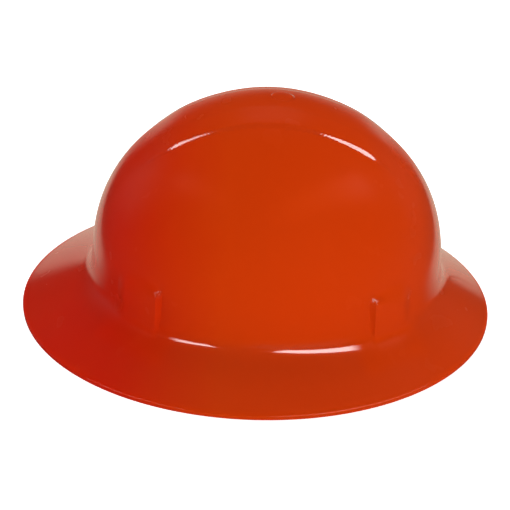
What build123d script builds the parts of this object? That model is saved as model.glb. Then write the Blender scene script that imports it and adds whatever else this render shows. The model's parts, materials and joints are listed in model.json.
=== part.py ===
from build123d import *
from math import acos, atan2, cos, degrees, hypot, pi, radians, sin, sqrt, tan
import os

# Full brim hard hat: a moulded shell over a four point webbing suspension, and a headband that a ratchet at
# the nape draws in. Millimetres, +Z up, the front towards -X. The origin is in the plane that the brim rests
# on, in the middle of the brim's length and width, and the wearer's right is +Y.

# Shell
brim_length = 350.0
brim_width = 291.0
dome_offset = 7.4  # the dome's centre lies this far behind the brim's
dome_length = 256.0
dome_width = 204.0
crease_height = 26.5  # where the dome's wall would meet the brim, above the rim
crown_height = 136.0  # from there to the top
crease_radius = 6.0
wall = 2.4
lip_height = 3.0
length_powers = (2.5, 1.77)  # roundness of the dome's side view
width_powers = (2.2, 1.93)  # roundness of the dome's front view
ring_points = 24
brim_ring_shares = (-0.35, -0.15, 0.05, 0.25, 0.45, 0.62, 0.76, 0.88, 1.0)  # below 0 lies outside the rim
crown_ring_shares = (0.03, 0.06, 0.1, 0.16, 0.26, 0.38, 0.5, 0.62, 0.73, 0.83, 0.9, 0.95, 0.98, 0.9985)
panel_length = 174.0  # wide crown panel with a soft edge
panel_width = 64.0
panel_rise = 1.2
panel_ring_share = 0.4
gate_mark_radius = 6.7
gate_mark_rise = 0.5
gate_mark_offset = 3.5  # behind the dome's centre
overrun = 1.0  # how far a cutting tool runs past what it cuts

# Pockets in the wall, each with a socket that opens downwards
pocket_reach = 84.0  # from the dome's centre, along its length
pocket_top_width = 33.0
pocket_foot_width = 37.0
pocket_height = 28.0
pocket_proud = 4.5
pocket_edge_radius = 3.4
pocket_lean = 5.6  # degrees, with the wall
socket_width = 26.0
socket_depth = 2.8
socket_height = 24.0
socket_wall = 2.0  # skin outside the socket

# Suspension keys
clearance = 0.3
key_foot = 24.0  # below the crease
window_width = 20.4
window_height = 3.2
bar_height = 4.0
foot_height = 6.0
key_corner_radius = 2.0
stud_radius = 2.0
stud_head_radius = 3.0
stud_head_height = 1.2

# Crown straps
strap_width = 19.0
strap_thickness = 1.6
strap_fold_radius = 1.0
strap_tail = 14.0  # sewn tail above the upper window
strap_loop_top = 7.0  # above the crease, where the folded end meets the arch
strap_shoulder_height = 54.0  # of the arch's first bend, above the crease
strap_shoulder_reach = 96.0
strap_top_height = 98.0  # of the arch's flat top, above the crease
strap_top_reach = 52.0
strap_bend_radius = 88.0
strap_twist_length = 20.0

# Headband
band_length = 178.0  # inside
band_width = 159.2
band_thickness = 1.8
band_centre = -10.0
band_foot = 2.0
band_height = 32.0
band_end = 12.0  # behind the pivots
band_corner_radius = 7.0
hanger_thickness = 2.0
hanger_height = 6.8
hanger_foot = 1.6
hanger_plate = 14.0
hanger_bend_radius = 3.0
loop_angles = (140.0, 118.0)  # where a front loop springs from the band, in degrees from the rear
link_lead = 24.0
link_bow = 5.0
link_overhang = 14.0
link_bend_radius = 10.0
slot_angles = (180.0, 163.0, 146.0)
slot_length = 12.0
slot_height = 3.0
slot_rise = 8.0

# Brow pad
pad_thickness = 4.5
pad_half_angle = 68.0
pad_margin = 2.0

# Nape: everything curved is concentric about one upright line
axle_height = 22.0  # of the knob, the racks, the arms and the pivots
arm_thickness = 1.8
arm_gap = 1.3  # between an arm and the band outside it
channel_depth = 4.8
channel_radius = band_width / 2 - arm_gap - arm_thickness + clearance - channel_depth
cover_thickness = 1.9
cover_radius = channel_radius - clearance / 3 - cover_thickness
nape_pad_thickness = 3.6
nape_pad_half_angle = 36.0
nape_pad_height = 28.0
nape_pad_radius = cover_radius - clearance - nape_pad_thickness
nape_centre = band_centre + band_length / 2 - nape_pad_radius
housing_wall = 2.4
housing_height = 33.0
housing_half_angle = 40.0
housing_corner_radius = 4.0
rack_thickness = 1.8
rack_height = 24.0
rack_tip_angle = 38.0
rack_window_angles = (-31.5, 7.5)
rack_rail = 3.0

# Nape arms and their pivots
arm_end_height = 24.0
arm_pivot_height = 18.0
arm_taper_shares = (0.0, 0.55)  # of the way from the nape's centre to the housing
pivot_reach = band_centre
pivot_radius = 3.4
pivot_head_radius = 7.0
pivot_flange_radius = 6.0
pivot_head_height = 1.4
running_fit = 0.05

# Pinion, knob and click spring
module = 1.2
teeth = 12
addendum = 1.1
rack_addendum = 0.8
tooth_clearance = 0.3
backlash = 0.16
pressure_angle = 20.0
pinion_width = 3.8
pinion_lead = 0.3  # from the channel's floor
trunnion_radius = 3.0
shaft_radius = 4.0
boss_radius = 16.0
boss_height = 1.4
boss_face = channel_radius + channel_depth + housing_wall + boss_height
knob_radius = 17.0
knob_lobe_depth = 1.3
knob_lobes = 10
knob_length = 12.0
knob_skin = 2.2
knob_cavity = 4.6
knob_gap = 0.4
click_ring_radius = 14.2
click_ring_root = 12.9
click_ring_crest = 12.2
click_ring_height = 3.4
click_notches = 24
click_spring_thickness = 1.6
click_spring_width = 1.6
click_spring_tip = 11.8
click_hub_radius = 6.0
spigot_radius = 3.0
knob_screw_head_radius = 3.4
knob_screw_head_height = 1.8
knob_screw_radius = 1.4
knob_screw_length = 9.0
screw_slot_width = 0.9
screw_slot_depth = 0.7

# Cover screws
cover_screw_radius = 1.0
cover_screw_head_radius = 1.9
cover_screw_head_height = 1.0
cover_screw_length = 4.4
cover_screw_angle = 30.0
cover_screw_rise = 14.4

MERIDIANS = (
    (brim_length / 2 + dome_offset, dome_length / 2, length_powers),
    (brim_length / 2 - dome_offset, dome_length / 2, length_powers),
    (brim_width / 2, dome_width / 2, width_powers),
)
pitch_radius = module * teeth / 2
CORNERS = {"front_left": (-1, -1), "front_right": (-1, 1), "rear_left": (1, -1), "rear_right": (1, 1)}


# Shell


def dome_radius(z, base, powers):
    """Half a length or width of the dome: base * (1 - share ** p) ** (1 / q), with share the height's."""
    share = max((z - crease_height) / crown_height, 0)
    return base * max(1 - share ** powers[0], 0) ** (1 / powers[1])


def flare(z):
    """How far the brim has run out below the crease: a hyperbola, so that it turns out of the wall softly."""
    drop = crease_height - z
    return (drop + hypot(drop, crease_radius)) / 2


def skin_radius(z, reach, base, powers):
    """Radius of the shell's outer skin on one meridian, from the dome's wall and the brim's flare."""
    slope = (reach - dome_radius(lip_height, base, powers)) / flare(lip_height)
    return dome_radius(z, base, powers) + slope * flare(z)


def oval(front, rear, side, level):
    """Level face inside an ellipse that reaches so far to the front, the rear and the sides of the dome."""
    shares = [place / ring_points for place in range(ring_points + 1)]
    points = [
        Vector((front + rear) / 2 * cos(2 * pi * share), side * sin(2 * pi * share)) for share in shares[:-1]
    ]
    ring = Edge.make_spline(points, periodic=True, parameters=shares)
    return Pos(dome_offset + (rear - front) / 2, 0, level) * make_face(ring)


def rim_prism(depth, foot):
    """Upright prism inside the rim, in from it by a depth and up from a foot."""
    return extrude(oval(*(reach - depth for reach, _, _ in MERIDIANS), foot), amount=2 * crown_height)


def skin_ring(z, depth=0.0):
    """Section of the skin at a height, moved in square to the skin by a depth."""
    nudge = lip_height / 100
    moved = []
    for meridian in MERIDIANS:
        slope = (skin_radius(z - nudge, *meridian) - skin_radius(z + nudge, *meridian)) / (2 * nudge)
        stretch = hypot(1, slope)
        moved.append((skin_radius(z, *meridian) - depth / stretch, z - depth * slope / stretch, slope))
    level = sum(height for _, height, _ in moved) / len(moved)
    front, rear, side = (radius + slope * (height - level) for radius, height, slope in moved)
    return oval(front, rear, side, level)


def skin_loft(depth=0.0, from_share=-1.0):
    """Solid below the skin, lofted through rings from outside the rim or from a share of the crown."""
    heights = [lip_height + share * (crease_height - lip_height) for share in brim_ring_shares]
    heights += [crease_height + share * crown_height for share in crown_ring_shares]
    lowest = crease_height + from_share * crown_height
    return loft(sections=[skin_ring(z, depth).face() for z in heights if z > lowest])


def pocket_frame(corner, lean=0.0):
    """Plane at a pocket: its x runs along the wall, its y out of it, its z up and in by a lean in degrees."""
    fore, side = CORNERS[corner]
    across = dome_width / 2 * sqrt(1 - (pocket_reach / (dome_length / 2)) ** 2)
    outward = Vector(
        fore * pocket_reach / (dome_length / 2) ** 2, side * across / (dome_width / 2) ** 2, 0
    ).normalized()
    up = Vector(0, 0, 1) * cos(radians(lean)) - outward * sin(radians(lean))
    origin = (dome_offset + fore * pocket_reach, side * across, crease_height)
    return Plane(origin=origin, x_dir=(outward.Y, -outward.X, 0), z_dir=up)


def block(x, y, z):
    """Box between three pairs of places."""
    centre = Pos((x[0] + x[1]) / 2, (y[0] + y[1]) / 2, (z[0] + z[1]) / 2)
    return centre * Box(x[1] - x[0], y[1] - y[0], z[1] - z[0])


def pocket_bulge(corner):
    """Trapezoid that stands out of the wall over a socket, with its outer edges rounded."""
    outline = Polyline(
        (-pocket_foot_width / 2, 0),
        (-pocket_top_width / 2, pocket_height),
        (pocket_top_width / 2, pocket_height),
        (pocket_foot_width / 2, 0),
        close=True,
    )
    # Plane.XZ looks along +Y from behind, so a negative amount goes out of the wall
    solid = extrude(Plane.XZ * make_face(outline), amount=-pocket_proud)
    solid += block((-pocket_top_width / 2, pocket_top_width / 2), (-wall, 0), (0, pocket_height))
    outer = solid.faces().sort_by(Axis.Y)[-1].edges()
    return pocket_frame(corner, pocket_lean) * fillet(outer, pocket_edge_radius)


def socket_span():
    """Inner and outer face of a socket, measured out of the wall."""
    outer = pocket_proud - socket_wall
    return outer - socket_depth, outer


def make_shell():
    outer = skin_loft() & rim_prism(0, 0)
    panel_prism = Pos(dome_offset, 0, crease_height) * extrude(
        SlotOverall(panel_length, panel_width), amount=2 * crown_height
    )
    outer += skin_loft(-panel_rise, panel_ring_share) & panel_prism
    top = crease_height + crown_ring_shares[-1] * crown_height
    outer += Pos(dome_offset + gate_mark_offset, 0, top) * extrude(
        Circle(gate_mark_radius), amount=panel_rise + gate_mark_rise
    )
    for corner in CORNERS:
        outer += pocket_bulge(corner)
    shell = outer - (skin_loft(wall) & rim_prism(wall, -overrun))
    for corner in CORNERS:
        shell -= pocket_frame(corner, pocket_lean) * block(
            (-socket_width / 2, socket_width / 2), socket_span(), (-socket_height / 2, socket_height)
        )
    return shell


# Suspension keys and crown straps


def key_levels():
    """Heights on a key's foot, from its lower end up: foot, lower window, bar, upper window."""
    levels = [-key_foot]
    for step in (foot_height, window_height, bar_height, window_height):
        levels.append(levels[-1] + step)
    return levels


def make_key(corner):
    inner, outer = socket_span()
    faces = (inner + clearance, outer - clearance)
    half = socket_width / 2 - clearance
    levels = key_levels()
    blade = block((-half, half), faces, (-bar_height / 2, socket_height - clearance))
    blade = chamfer(blade.edges().filter_by(Axis.Y).group_by(Axis.Z)[-1], key_corner_radius)
    foot = block((-half, half), faces, (levels[0], 0))
    foot = fillet(foot.edges().filter_by(Axis.Y).group_by(Axis.Z)[0], key_corner_radius)
    for low, high in ((levels[1], levels[2]), (levels[3], levels[4])):
        foot -= block(
            (-window_width / 2, window_width / 2), (faces[0] - overrun, faces[1] + overrun), (low, high)
        )
    stud_length = hanger_thickness + 2 * clearance
    stud_plane = Plane(
        origin=(0, faces[0], (levels[0] + levels[1]) / 2), x_dir=(1, 0, 0), z_dir=(0, -1, 0)
    )
    stud = stud_plane * extrude(Circle(stud_radius), amount=stud_length + stud_head_height)
    stud += stud_plane * Pos(0, 0, stud_length) * Cylinder(
        stud_head_radius, stud_head_height, align=(Align.CENTER, Align.CENTER, Align.MIN)
    )
    upright = pocket_frame(corner)
    return pocket_frame(corner, pocket_lean) * blade + upright * (foot + stud)


def strap_line():
    """Distance of the strap's inner ply from the wall line: clear of the hanger's plate and the bridge."""
    return socket_span()[0] - clearance - strap_thickness * 2


def strap_end(corner):
    """Folded end: down inside the key, under its bar, back through the upper window and up as a sewn tail."""
    levels = key_levels()
    under = (levels[1] + levels[2]) / 2
    through = (levels[3] + levels[4]) / 2
    behind = socket_span()[1] + strap_thickness / 2 + clearance
    main = strap_line()
    tail = main + strap_thickness + 2 * clearance / 3
    route = FilletPolyline(
        (main, strap_loop_top),
        (main, under),
        (behind, under),
        (behind, through),
        (tail, through),
        (tail, through + strap_tail),
        radius=strap_fold_radius,
    )
    section = Plane.YZ * trace(route, line_width=strap_thickness)
    return pocket_frame(corner) * extrude(section, amount=strap_width / 2, both=True)


def make_strap(first, second, drop):
    """One strap from key to key: two folded ends, two twisted lengths and the arch between them."""
    frame = pocket_frame(first)
    heading = degrees(atan2(frame.origin.Y, frame.origin.X - dome_offset))
    radial = Plane(
        origin=(dome_offset, 0, crease_height),
        x_dir=(cos(radians(heading)), sin(radians(heading)), 0),
        z_dir=(sin(radians(heading)), -cos(radians(heading)), 0),
    )
    loop_top = frame.from_local_coords(Vector(0, strap_line(), strap_loop_top))
    reach = hypot(loop_top.X - dome_offset, loop_top.Y)
    lean = Vector(strap_shoulder_reach - reach, strap_shoulder_height - strap_loop_top).normalized()
    start = Vector(reach, strap_loop_top) + lean * strap_twist_length
    bends = [
        (start.X, start.Y),
        (strap_shoulder_reach, strap_shoulder_height),
        (strap_top_reach, strap_top_height - drop),
    ]
    mirrored = [(-x, y) for x, y in reversed(bends)]
    path = radial * FilletPolyline(*bends, *mirrored, radius=strap_bend_radius)
    across = Vector(-sin(radians(heading)), cos(radians(heading)), 0)
    strap = Part()
    for corner, place in ((first, 0), (second, 1)):
        tangent = path % place
        edge = Plane(origin=path @ place, x_dir=across, z_dir=tangent)
        near = Plane(
            origin=pocket_frame(corner).from_local_coords(Vector(0, strap_line(), strap_loop_top)),
            x_dir=pocket_frame(corner).x_dir,
            z_dir=(0, 0, 1),
        )
        if near.x_dir.dot(across) < 0:
            near = Plane(origin=near.origin, x_dir=near.x_dir * -1, z_dir=(0, 0, 1))
        strap += strap_end(corner)
        strap += loft(
            sections=[
                (near * Rectangle(strap_width, strap_thickness)).face(),
                (edge * Rectangle(strap_width, strap_thickness)).face(),
            ],
            ruled=True,
        )
    section = Plane(origin=path @ 0, x_dir=across, z_dir=path % 0) * Rectangle(
        strap_width, strap_thickness
    )
    return strap + sweep(section, path=path)


# Headband and brow pad


def band_ellipse(grow):
    """Ellipse about the headband's centre, grown from the band's inner face."""
    return Pos(band_centre, 0, 0) * Ellipse(band_length / 2 + grow, band_width / 2 + grow)


def band_point(angle, side):
    """Place in the middle of the band's thickness, at an angle from the rear."""
    grow = band_thickness / 2
    return (
        band_centre + (band_length / 2 + grow) * cos(radians(angle)),
        side * (band_width / 2 + grow) * sin(radians(angle)),
    )


def hanger_place(corner, along):
    """Place in the middle of a hanger's plate, along the wall of its pocket."""
    out = socket_span()[0] - hanger_thickness / 2
    place = pocket_frame(corner).from_local_coords(Vector(along, out, 0))
    return (place.X, place.Y)


def hanger(points, radius):
    """Strip of the hanger's thickness that follows points in plan."""
    line = FilletPolyline(*points, radius=radius)
    return Pos(0, 0, hanger_foot) * extrude(trace(line, line_width=hanger_thickness), amount=hanger_height)


def stud_hole(corner):
    """Hole for a key's stud through a hanger's plate."""
    levels = key_levels()
    plane = pocket_frame(corner) * Plane(
        origin=(0, socket_span()[0] + overrun, (levels[0] + levels[1]) / 2), z_dir=(0, -1, 0)
    )
    return plane * extrude(Circle(stud_radius + clearance), amount=hanger_thickness + 2 * overrun)


def front_loop(corner):
    """Loop that stands off the band to the front pocket and back to the band."""
    _, side = CORNERS[corner]
    # The pocket's x axis points to the rear on the right side and to the front on the left side
    ends = [hanger_place(corner, side * place) for place in (-hanger_plate / 2, hanger_plate / 2)]
    points = [band_point(loop_angles[0], side), *ends, band_point(loop_angles[1], side)]
    return hanger(points, hanger_bend_radius)


def rear_link(corner):
    """Springy strip that leaves the band at its pivot and bows out to the rear pocket."""
    _, side = CORNERS[corner]
    beside = (band_width + band_thickness) / 2
    points = [
        (pivot_reach, side * beside),
        (pivot_reach + link_lead / 2, side * beside),
        (pivot_reach + 2 * link_lead, side * (beside + link_bow)),
        hanger_place(corner, -side * (hanger_plate / 2 + link_overhang)),
        hanger_place(corner, side * hanger_plate / 2),
    ]
    return hanger(points, link_bend_radius)


def make_headband():
    ring = extrude(band_ellipse(band_thickness) - band_ellipse(0), amount=band_height)
    rear = pivot_reach + band_end
    front = band_centre - band_length
    outline = Pos((front + rear) / 2, band_height / 2) * RectangleRounded(
        rear - front, band_height, band_corner_radius
    )
    keep = extrude(Plane.XZ * outline, amount=band_width, both=True)
    band = Pos(0, 0, band_foot) * (ring & keep)
    for side in (-1, 1):
        band -= Pos(pivot_reach, side * band_width / 2, axle_height) * Rot(90, 0, 0) * Cylinder(
            pivot_radius + running_fit, 4 * band_thickness
        )
    for angle in slot_angles:
        for side in (-1, 1):
            x, y = band_point(angle, side)
            turn = degrees(atan2(y * (band_length / band_width) ** 2, x - band_centre))
            slot = Plane.YZ * SlotOverall(slot_length, slot_height)
            place = Pos(x, y, band_foot + band_height - slot_rise) * Rot(0, 0, turn)
            band -= place * extrude(slot, amount=2 * band_thickness, both=True)
    for corner, (fore, _) in CORNERS.items():
        band += front_loop(corner) if fore < 0 else rear_link(corner)
        band -= stud_hole(corner)
    return band


def make_brow_pad():
    ring = extrude(
        band_ellipse(-clearance) - band_ellipse(-clearance - pad_thickness),
        amount=band_height - 2 * pad_margin,
    )
    reach = band_centre - (band_length / 2) * cos(radians(pad_half_angle))
    front = band_centre - band_length
    keep = block((front, reach), (-band_width, band_width), (0, band_height))
    pad = Pos(0, 0, band_foot + pad_margin) * (ring & keep)
    return pad


# Nape: arms, racks, housing and what turns in it


def nape_axis():
    return Axis((nape_centre, 0, 0), (0, 0, 1))


def curved_plate(inner, thickness, low, high, first, last):
    """Plate bent about the nape's upright line, between two angles from the rear."""
    section = Plane.XZ * Pos(nape_centre + inner + thickness / 2, axle_height + (low + high) / 2) * Rectangle(
        thickness, high - low
    )
    plate = revolve(section, axis=nape_axis(), revolution_arc=last - first)
    return plate.rotate(nape_axis(), first)


def at_angle(angle):
    """Location on the nape's upright line at the axle's height, turned to an angle from the rear."""
    return Pos(nape_centre, 0, axle_height) * Rot(0, 0, angle)


def nape_cylinder(radius, start, stop):
    """Round bar along the knob's axle, between two distances from the nape's upright line."""
    return Plane(origin=(start, 0, 0), x_dir=(0, 1, 0), z_dir=(1, 0, 0)) * Cylinder(
        radius, stop - start, align=(Align.CENTER, Align.CENTER, Align.MIN)
    )


def make_arm(side):
    radius = channel_radius + channel_depth - clearance + arm_thickness / 2
    start = housing_half_angle + degrees(2 * clearance / radius)
    bend = curved_plate(radius - arm_thickness / 2, arm_thickness, -arm_end_height, arm_end_height, start, 90)
    straight = block(
        (pivot_reach - arm_pivot_height, nape_centre),
        (radius - arm_thickness / 2, radius + arm_thickness / 2),
        (axle_height - arm_end_height, axle_height + arm_end_height),
    )
    reach = radius * cos(radians(start))
    taper = [nape_centre + share * reach for share in arm_taper_shares]
    outline = make_face(
        Polyline(
            (pivot_reach, arm_pivot_height / 2),
            (taper[0], arm_pivot_height / 2),
            (taper[1], arm_end_height / 2),
            (nape_centre + radius, arm_end_height / 2),
            (nape_centre + radius, -arm_end_height / 2),
            (taper[1], -arm_end_height / 2),
            (taper[0], -arm_pivot_height / 2),
            (pivot_reach, -arm_pivot_height / 2),
            close=True,
        )
    )
    outline += Pos(pivot_reach, 0) * Circle(arm_pivot_height / 2)
    keep = Pos(0, 0, axle_height) * extrude(Plane.XZ * outline, amount=2 * radius, both=True)
    arm = (bend + straight) & keep
    arm -= Pos(pivot_reach, radius, axle_height) * Rot(90, 0, 0) * Cylinder(
        pivot_radius + running_fit, 2 * arm_thickness
    )
    return arm if side > 0 else mirror(arm, about=Plane.XZ)


def make_pivot_button(side):
    arm_inner = channel_radius + channel_depth - clearance
    inner = arm_inner - clearance
    outer = band_width / 2 + band_thickness + clearance
    plane = Plane(origin=(pivot_reach, inner - pivot_head_height, axle_height), z_dir=(0, 1, 0))
    low = (Align.CENTER, Align.CENTER, Align.MIN)
    button = plane * Cylinder(pivot_flange_radius, pivot_head_height, align=low)
    button += plane * Cylinder(pivot_radius, outer - inner + 2 * pivot_head_height, align=low)
    cap = plane * Pos(0, 0, outer - inner + pivot_head_height) * Cylinder(
        pivot_head_radius, pivot_head_height, align=low
    )
    button += chamfer(cap.edges().sort_by(Axis.Y)[-1], pivot_head_height / 2)
    return button if side > 0 else mirror(button, about=Plane.XZ)


def make_rack(side):
    """Curved strip with a window, toothed along its upper edge on the right and its lower on the left."""
    inner = channel_radius + clearance + (0 if side > 0 else rack_thickness + clearance)
    middle = inner + rack_thickness / 2
    half = rack_height / 2
    root = pitch_radius + addendum + tooth_clearance
    strip = curved_plate(inner, rack_thickness, -half, half, -rack_tip_angle, housing_half_angle)
    window = curved_plate(
        inner - overrun, rack_thickness + 2 * overrun, rack_rail - half, root, *rack_window_angles
    )
    rack = strip - window
    pitch_angle = degrees(pi * module / middle)
    flank = tan(radians(pressure_angle))
    half_pitch_width = pi * module / 4 - backlash / 2
    tip_half = half_pitch_width - rack_addendum * flank
    depth = root - pitch_radius + tooth_clearance
    root_half = half_pitch_width + depth * flank
    tooth_outline = Polyline(
        (-root_half, pitch_radius + depth),
        (-tip_half, pitch_radius - rack_addendum),
        (tip_half, pitch_radius - rack_addendum),
        (root_half, pitch_radius + depth),
        close=True,
    )
    tooth = Pos(inner, 0, 0) * extrude(Plane.YZ * make_face(tooth_outline), amount=rack_thickness)
    count = int((rack_window_angles[1] - rack_window_angles[0]) / pitch_angle)
    for place in range(count):
        angle = rack_window_angles[1] - (place + 1) * pitch_angle
        nearest = round(angle / pitch_angle - 1 / 2) + 1 / 2
        rack += at_angle(nearest * pitch_angle) * tooth
    if side > 0:
        return rack
    return rack.rotate(Axis((0, 0, axle_height), (1, 0, 0)), 180)


def involute(angle):
    return tan(angle) - angle


def make_pinion():
    """Gear between the racks, with a trunnion in the cover and a shaft out through the housing."""
    base = pitch_radius * cos(radians(pressure_angle))
    root = pitch_radius - rack_addendum - tooth_clearance
    tip = pitch_radius + addendum
    half_at_pitch = (pi * module / 4 - backlash / 2) / pitch_radius
    flank = []
    for share in (0, 1 / 3, 2 / 3, 1):
        radius = base + share * (tip - base)
        half = half_at_pitch + involute(radians(pressure_angle)) - involute(acos(min(base / radius, 1)))
        flank.append((radius, half))
    flank.insert(0, (root, flank[0][1]))
    outline = []
    for tooth in range(teeth):
        middle = 2 * pi * tooth / teeth
        for radius, half in flank:
            outline.append((radius * cos(middle - half), radius * sin(middle - half)))
        for radius, half in reversed(flank):
            outline.append((radius * cos(middle + half), radius * sin(middle + half)))
    start = channel_radius + pinion_lead
    gear_plane = Plane(origin=(start, 0, 0), x_dir=(0, 1, 0), z_dir=(1, 0, 0))
    gear = gear_plane * extrude(make_face(Polyline(*outline, close=True)), amount=pinion_width)
    pinion = gear + nape_cylinder(trunnion_radius, cover_radius + clearance, start)
    spring_stop = boss_face + knob_gap + clearance + click_spring_thickness
    pinion += nape_cylinder(shaft_radius, start + pinion_width, spring_stop)
    knob_floor = boss_face + knob_gap + knob_cavity
    pinion += nape_cylinder(spigot_radius, spring_stop, knob_floor + knob_skin)
    pinion -= nape_cylinder(
        knob_screw_radius + running_fit,
        boss_face + knob_gap + knob_length - knob_screw_length - knob_screw_head_height,
        knob_floor + knob_skin + overrun,
    )
    return at_angle(0) * pinion


def housing_outline():
    """Prism along the knob's axle that rounds the corners of the housing and its cover."""
    half = (channel_radius + channel_depth + housing_wall) * sin(radians(housing_half_angle))
    outline = Plane.YZ * RectangleRounded(2 * half, housing_height, housing_corner_radius)
    return at_angle(0) * extrude(outline, amount=2 * boss_face)


def cover_screw_places():
    """Each cover screw's angle from the rear and height above the axle."""
    angles = (-cover_screw_angle, cover_screw_angle)
    rises = (-cover_screw_rise, cover_screw_rise)
    return [(angle, rise) for angle in angles for rise in rises]


def make_housing():
    half = housing_height / 2
    rail = rack_height / 2 + clearance
    span = (-housing_half_angle, housing_half_angle)
    outer = channel_radius + channel_depth
    housing = curved_plate(outer, housing_wall, -half, half, *span)
    for low, high in ((-half, -rail), (rail, half)):
        housing += curved_plate(channel_radius, channel_depth, low, high, *span)
    housing &= housing_outline()
    boss = nape_cylinder(boss_radius, outer + housing_wall / 4, boss_face)
    ring = nape_cylinder(click_ring_radius, boss_face, boss_face + click_ring_height)
    ring -= nape_cylinder(click_ring_crest, boss_face, boss_face + click_ring_height)
    notch = nape_cylinder(click_ring_root - click_ring_crest, boss_face, boss_face + click_ring_height)
    for place in range(click_notches):
        ring -= Rot(360 * place / click_notches, 0, 0) * Pos(0, click_ring_crest, 0) * notch
    housing += at_angle(0) * (boss + ring)
    housing -= at_angle(0) * nape_cylinder(shaft_radius + running_fit, channel_radius, boss_face + overrun)
    screw_stop = cover_radius + cover_screw_length + clearance
    for angle, rise in cover_screw_places():
        housing -= at_angle(angle) * Pos(0, 0, rise) * nape_cylinder(
            cover_screw_radius + running_fit, channel_radius - overrun, screw_stop
        )
    return housing


def make_cover():
    half = housing_height / 2
    cover = curved_plate(
        cover_radius, cover_thickness, -half, half, -housing_half_angle, housing_half_angle
    ) & housing_outline()
    cover -= at_angle(0) * nape_cylinder(
        trunnion_radius + running_fit, cover_radius - overrun, channel_radius + overrun
    )
    for angle, rise in cover_screw_places():
        place = at_angle(angle) * Pos(0, 0, rise)
        cover -= place * nape_cylinder(
            cover_screw_radius + running_fit, cover_radius - overrun, channel_radius + overrun
        )
        cover -= place * nape_cylinder(
            cover_screw_head_radius + running_fit,
            cover_radius - overrun,
            cover_radius + cover_screw_head_height,
        )
    return cover


def make_cover_screws():
    screws = []
    for angle, rise in cover_screw_places():
        screw = nape_cylinder(cover_screw_radius, cover_radius, cover_radius + cover_screw_length)
        screw += nape_cylinder(cover_screw_head_radius, cover_radius, cover_radius + cover_screw_head_height)
        screws.append(at_angle(angle) * Pos(0, 0, rise) * screw)
    return Compound(children=[screw.solid() for screw in screws])


def make_nape_pad():
    half = nape_pad_height / 2
    pad = curved_plate(
        nape_pad_radius, nape_pad_thickness, -half, half, -nape_pad_half_angle, nape_pad_half_angle
    )
    width = 2 * (nape_pad_radius + nape_pad_thickness) * sin(radians(nape_pad_half_angle))
    outline = Plane.YZ * RectangleRounded(width, nape_pad_height, nape_pad_height / 3)
    return pad & (at_angle(0) * extrude(outline, amount=2 * boss_face))


def make_knob():
    start = boss_face + knob_gap
    stop = start + knob_length
    knob = nape_cylinder(knob_radius, start, stop)
    knob = fillet(knob.edges().sort_by(Axis.X)[-1], knob_skin)
    lobe = nape_cylinder(knob_lobe_depth * 3, start - overrun, stop + overrun)
    for place in range(knob_lobes):
        knob -= Rot(360 * place / knob_lobes, 0, 0) * Pos(0, knob_radius + 2 * knob_lobe_depth, 0) * lobe
    knob -= nape_cylinder(click_ring_radius + clearance, start - overrun, start + knob_cavity)
    floor = start + knob_cavity
    knob -= nape_cylinder(spigot_radius + running_fit, floor - overrun, floor + knob_skin)
    knob -= nape_cylinder(knob_screw_radius + running_fit, floor, stop)
    knob -= nape_cylinder(knob_screw_head_radius + running_fit, stop - knob_screw_head_height, stop + overrun)
    return at_angle(0) * knob


def make_click_spring():
    """Hub keyed to the shaft with two sprung arms whose tips rest in the notches of the housing's ring."""
    start = boss_face + knob_gap + clearance
    stop = start + click_spring_thickness
    spring = nape_cylinder(click_hub_radius, start, stop)
    band = nape_cylinder(click_spring_tip - click_spring_width / 2, start, stop) - nape_cylinder(
        click_spring_tip - click_spring_width * 3 / 2, start, stop
    )
    half = click_spring_tip
    band -= block((start, stop), (0, half), (0, half))
    band -= block((start, stop), (-half, 0), (-half, 0))
    spring += band
    reach = click_spring_tip - click_spring_width
    spring += block((start, stop), (-reach, reach), (-click_spring_width / 2, click_spring_width / 2))
    tip = nape_cylinder(click_spring_width / 2, start, stop)
    for side in (-1, 1):
        rise = side * (click_spring_tip - click_spring_width / 2)
        spring += Pos(0, -side * click_spring_width / 2, rise) * tip
    spring -= nape_cylinder(shaft_radius + running_fit, start - overrun, stop + overrun)
    return at_angle(0) * spring


def make_knob_screw():
    stop = boss_face + knob_gap + knob_length
    head = stop - knob_screw_head_height
    screw = nape_cylinder(knob_screw_radius, head - knob_screw_length, head)
    screw += nape_cylinder(knob_screw_head_radius, head, stop)
    screw -= block(
        (stop - screw_slot_depth, stop + overrun),
        (-knob_screw_head_radius, knob_screw_head_radius),
        (-screw_slot_width / 2, screw_slot_width / 2),
    )
    return at_angle(0) * screw


parts = {
    "shell": make_shell(),
    "crown_strap_lower": make_strap("front_right", "rear_left", strap_thickness + clearance),
    "crown_strap_upper": make_strap("front_left", "rear_right", 0),
    "headband": make_headband(),
    "brow_pad": make_brow_pad(),
    "nape_arm_left": make_arm(-1),
    "nape_arm_right": make_arm(1),
    "pivot_button_left": make_pivot_button(-1),
    "pivot_button_right": make_pivot_button(1),
    "rack_left": make_rack(-1),
    "rack_right": make_rack(1),
    "ratchet_housing": make_housing(),
    "ratchet_cover": make_cover(),
    "cover_screws": make_cover_screws(),
    "nape_pad": make_nape_pad(),
    "pinion": make_pinion(),
    "ratchet_knob": make_knob(),
    "click_spring": make_click_spring(),
    "knob_screw": make_knob_screw(),
}
for corner in CORNERS:
    parts[corner + "_key"] = make_key(corner)

os.makedirs("parts", exist_ok=True)
for name, solid in parts.items():
    export_step(solid, f"parts/{name}.step")
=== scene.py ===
"""A full brim hard hat: its moulded shell, its soft pieces and the finish of every surface.

Sizes are in millimetres, and become metres where a mesh is made. +X points to the back of the hat, +Y to
its far side in the picture and +Z up. The origin lies in the plane that the rim rests on.
"""

import json
import logging
from dataclasses import dataclass
from enum import Enum
from functools import cache, partial
from typing import Any, Callable, Optional, Sequence, Union

import bpy
import numpy as np
from mathutils import Matrix, Vector


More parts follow.
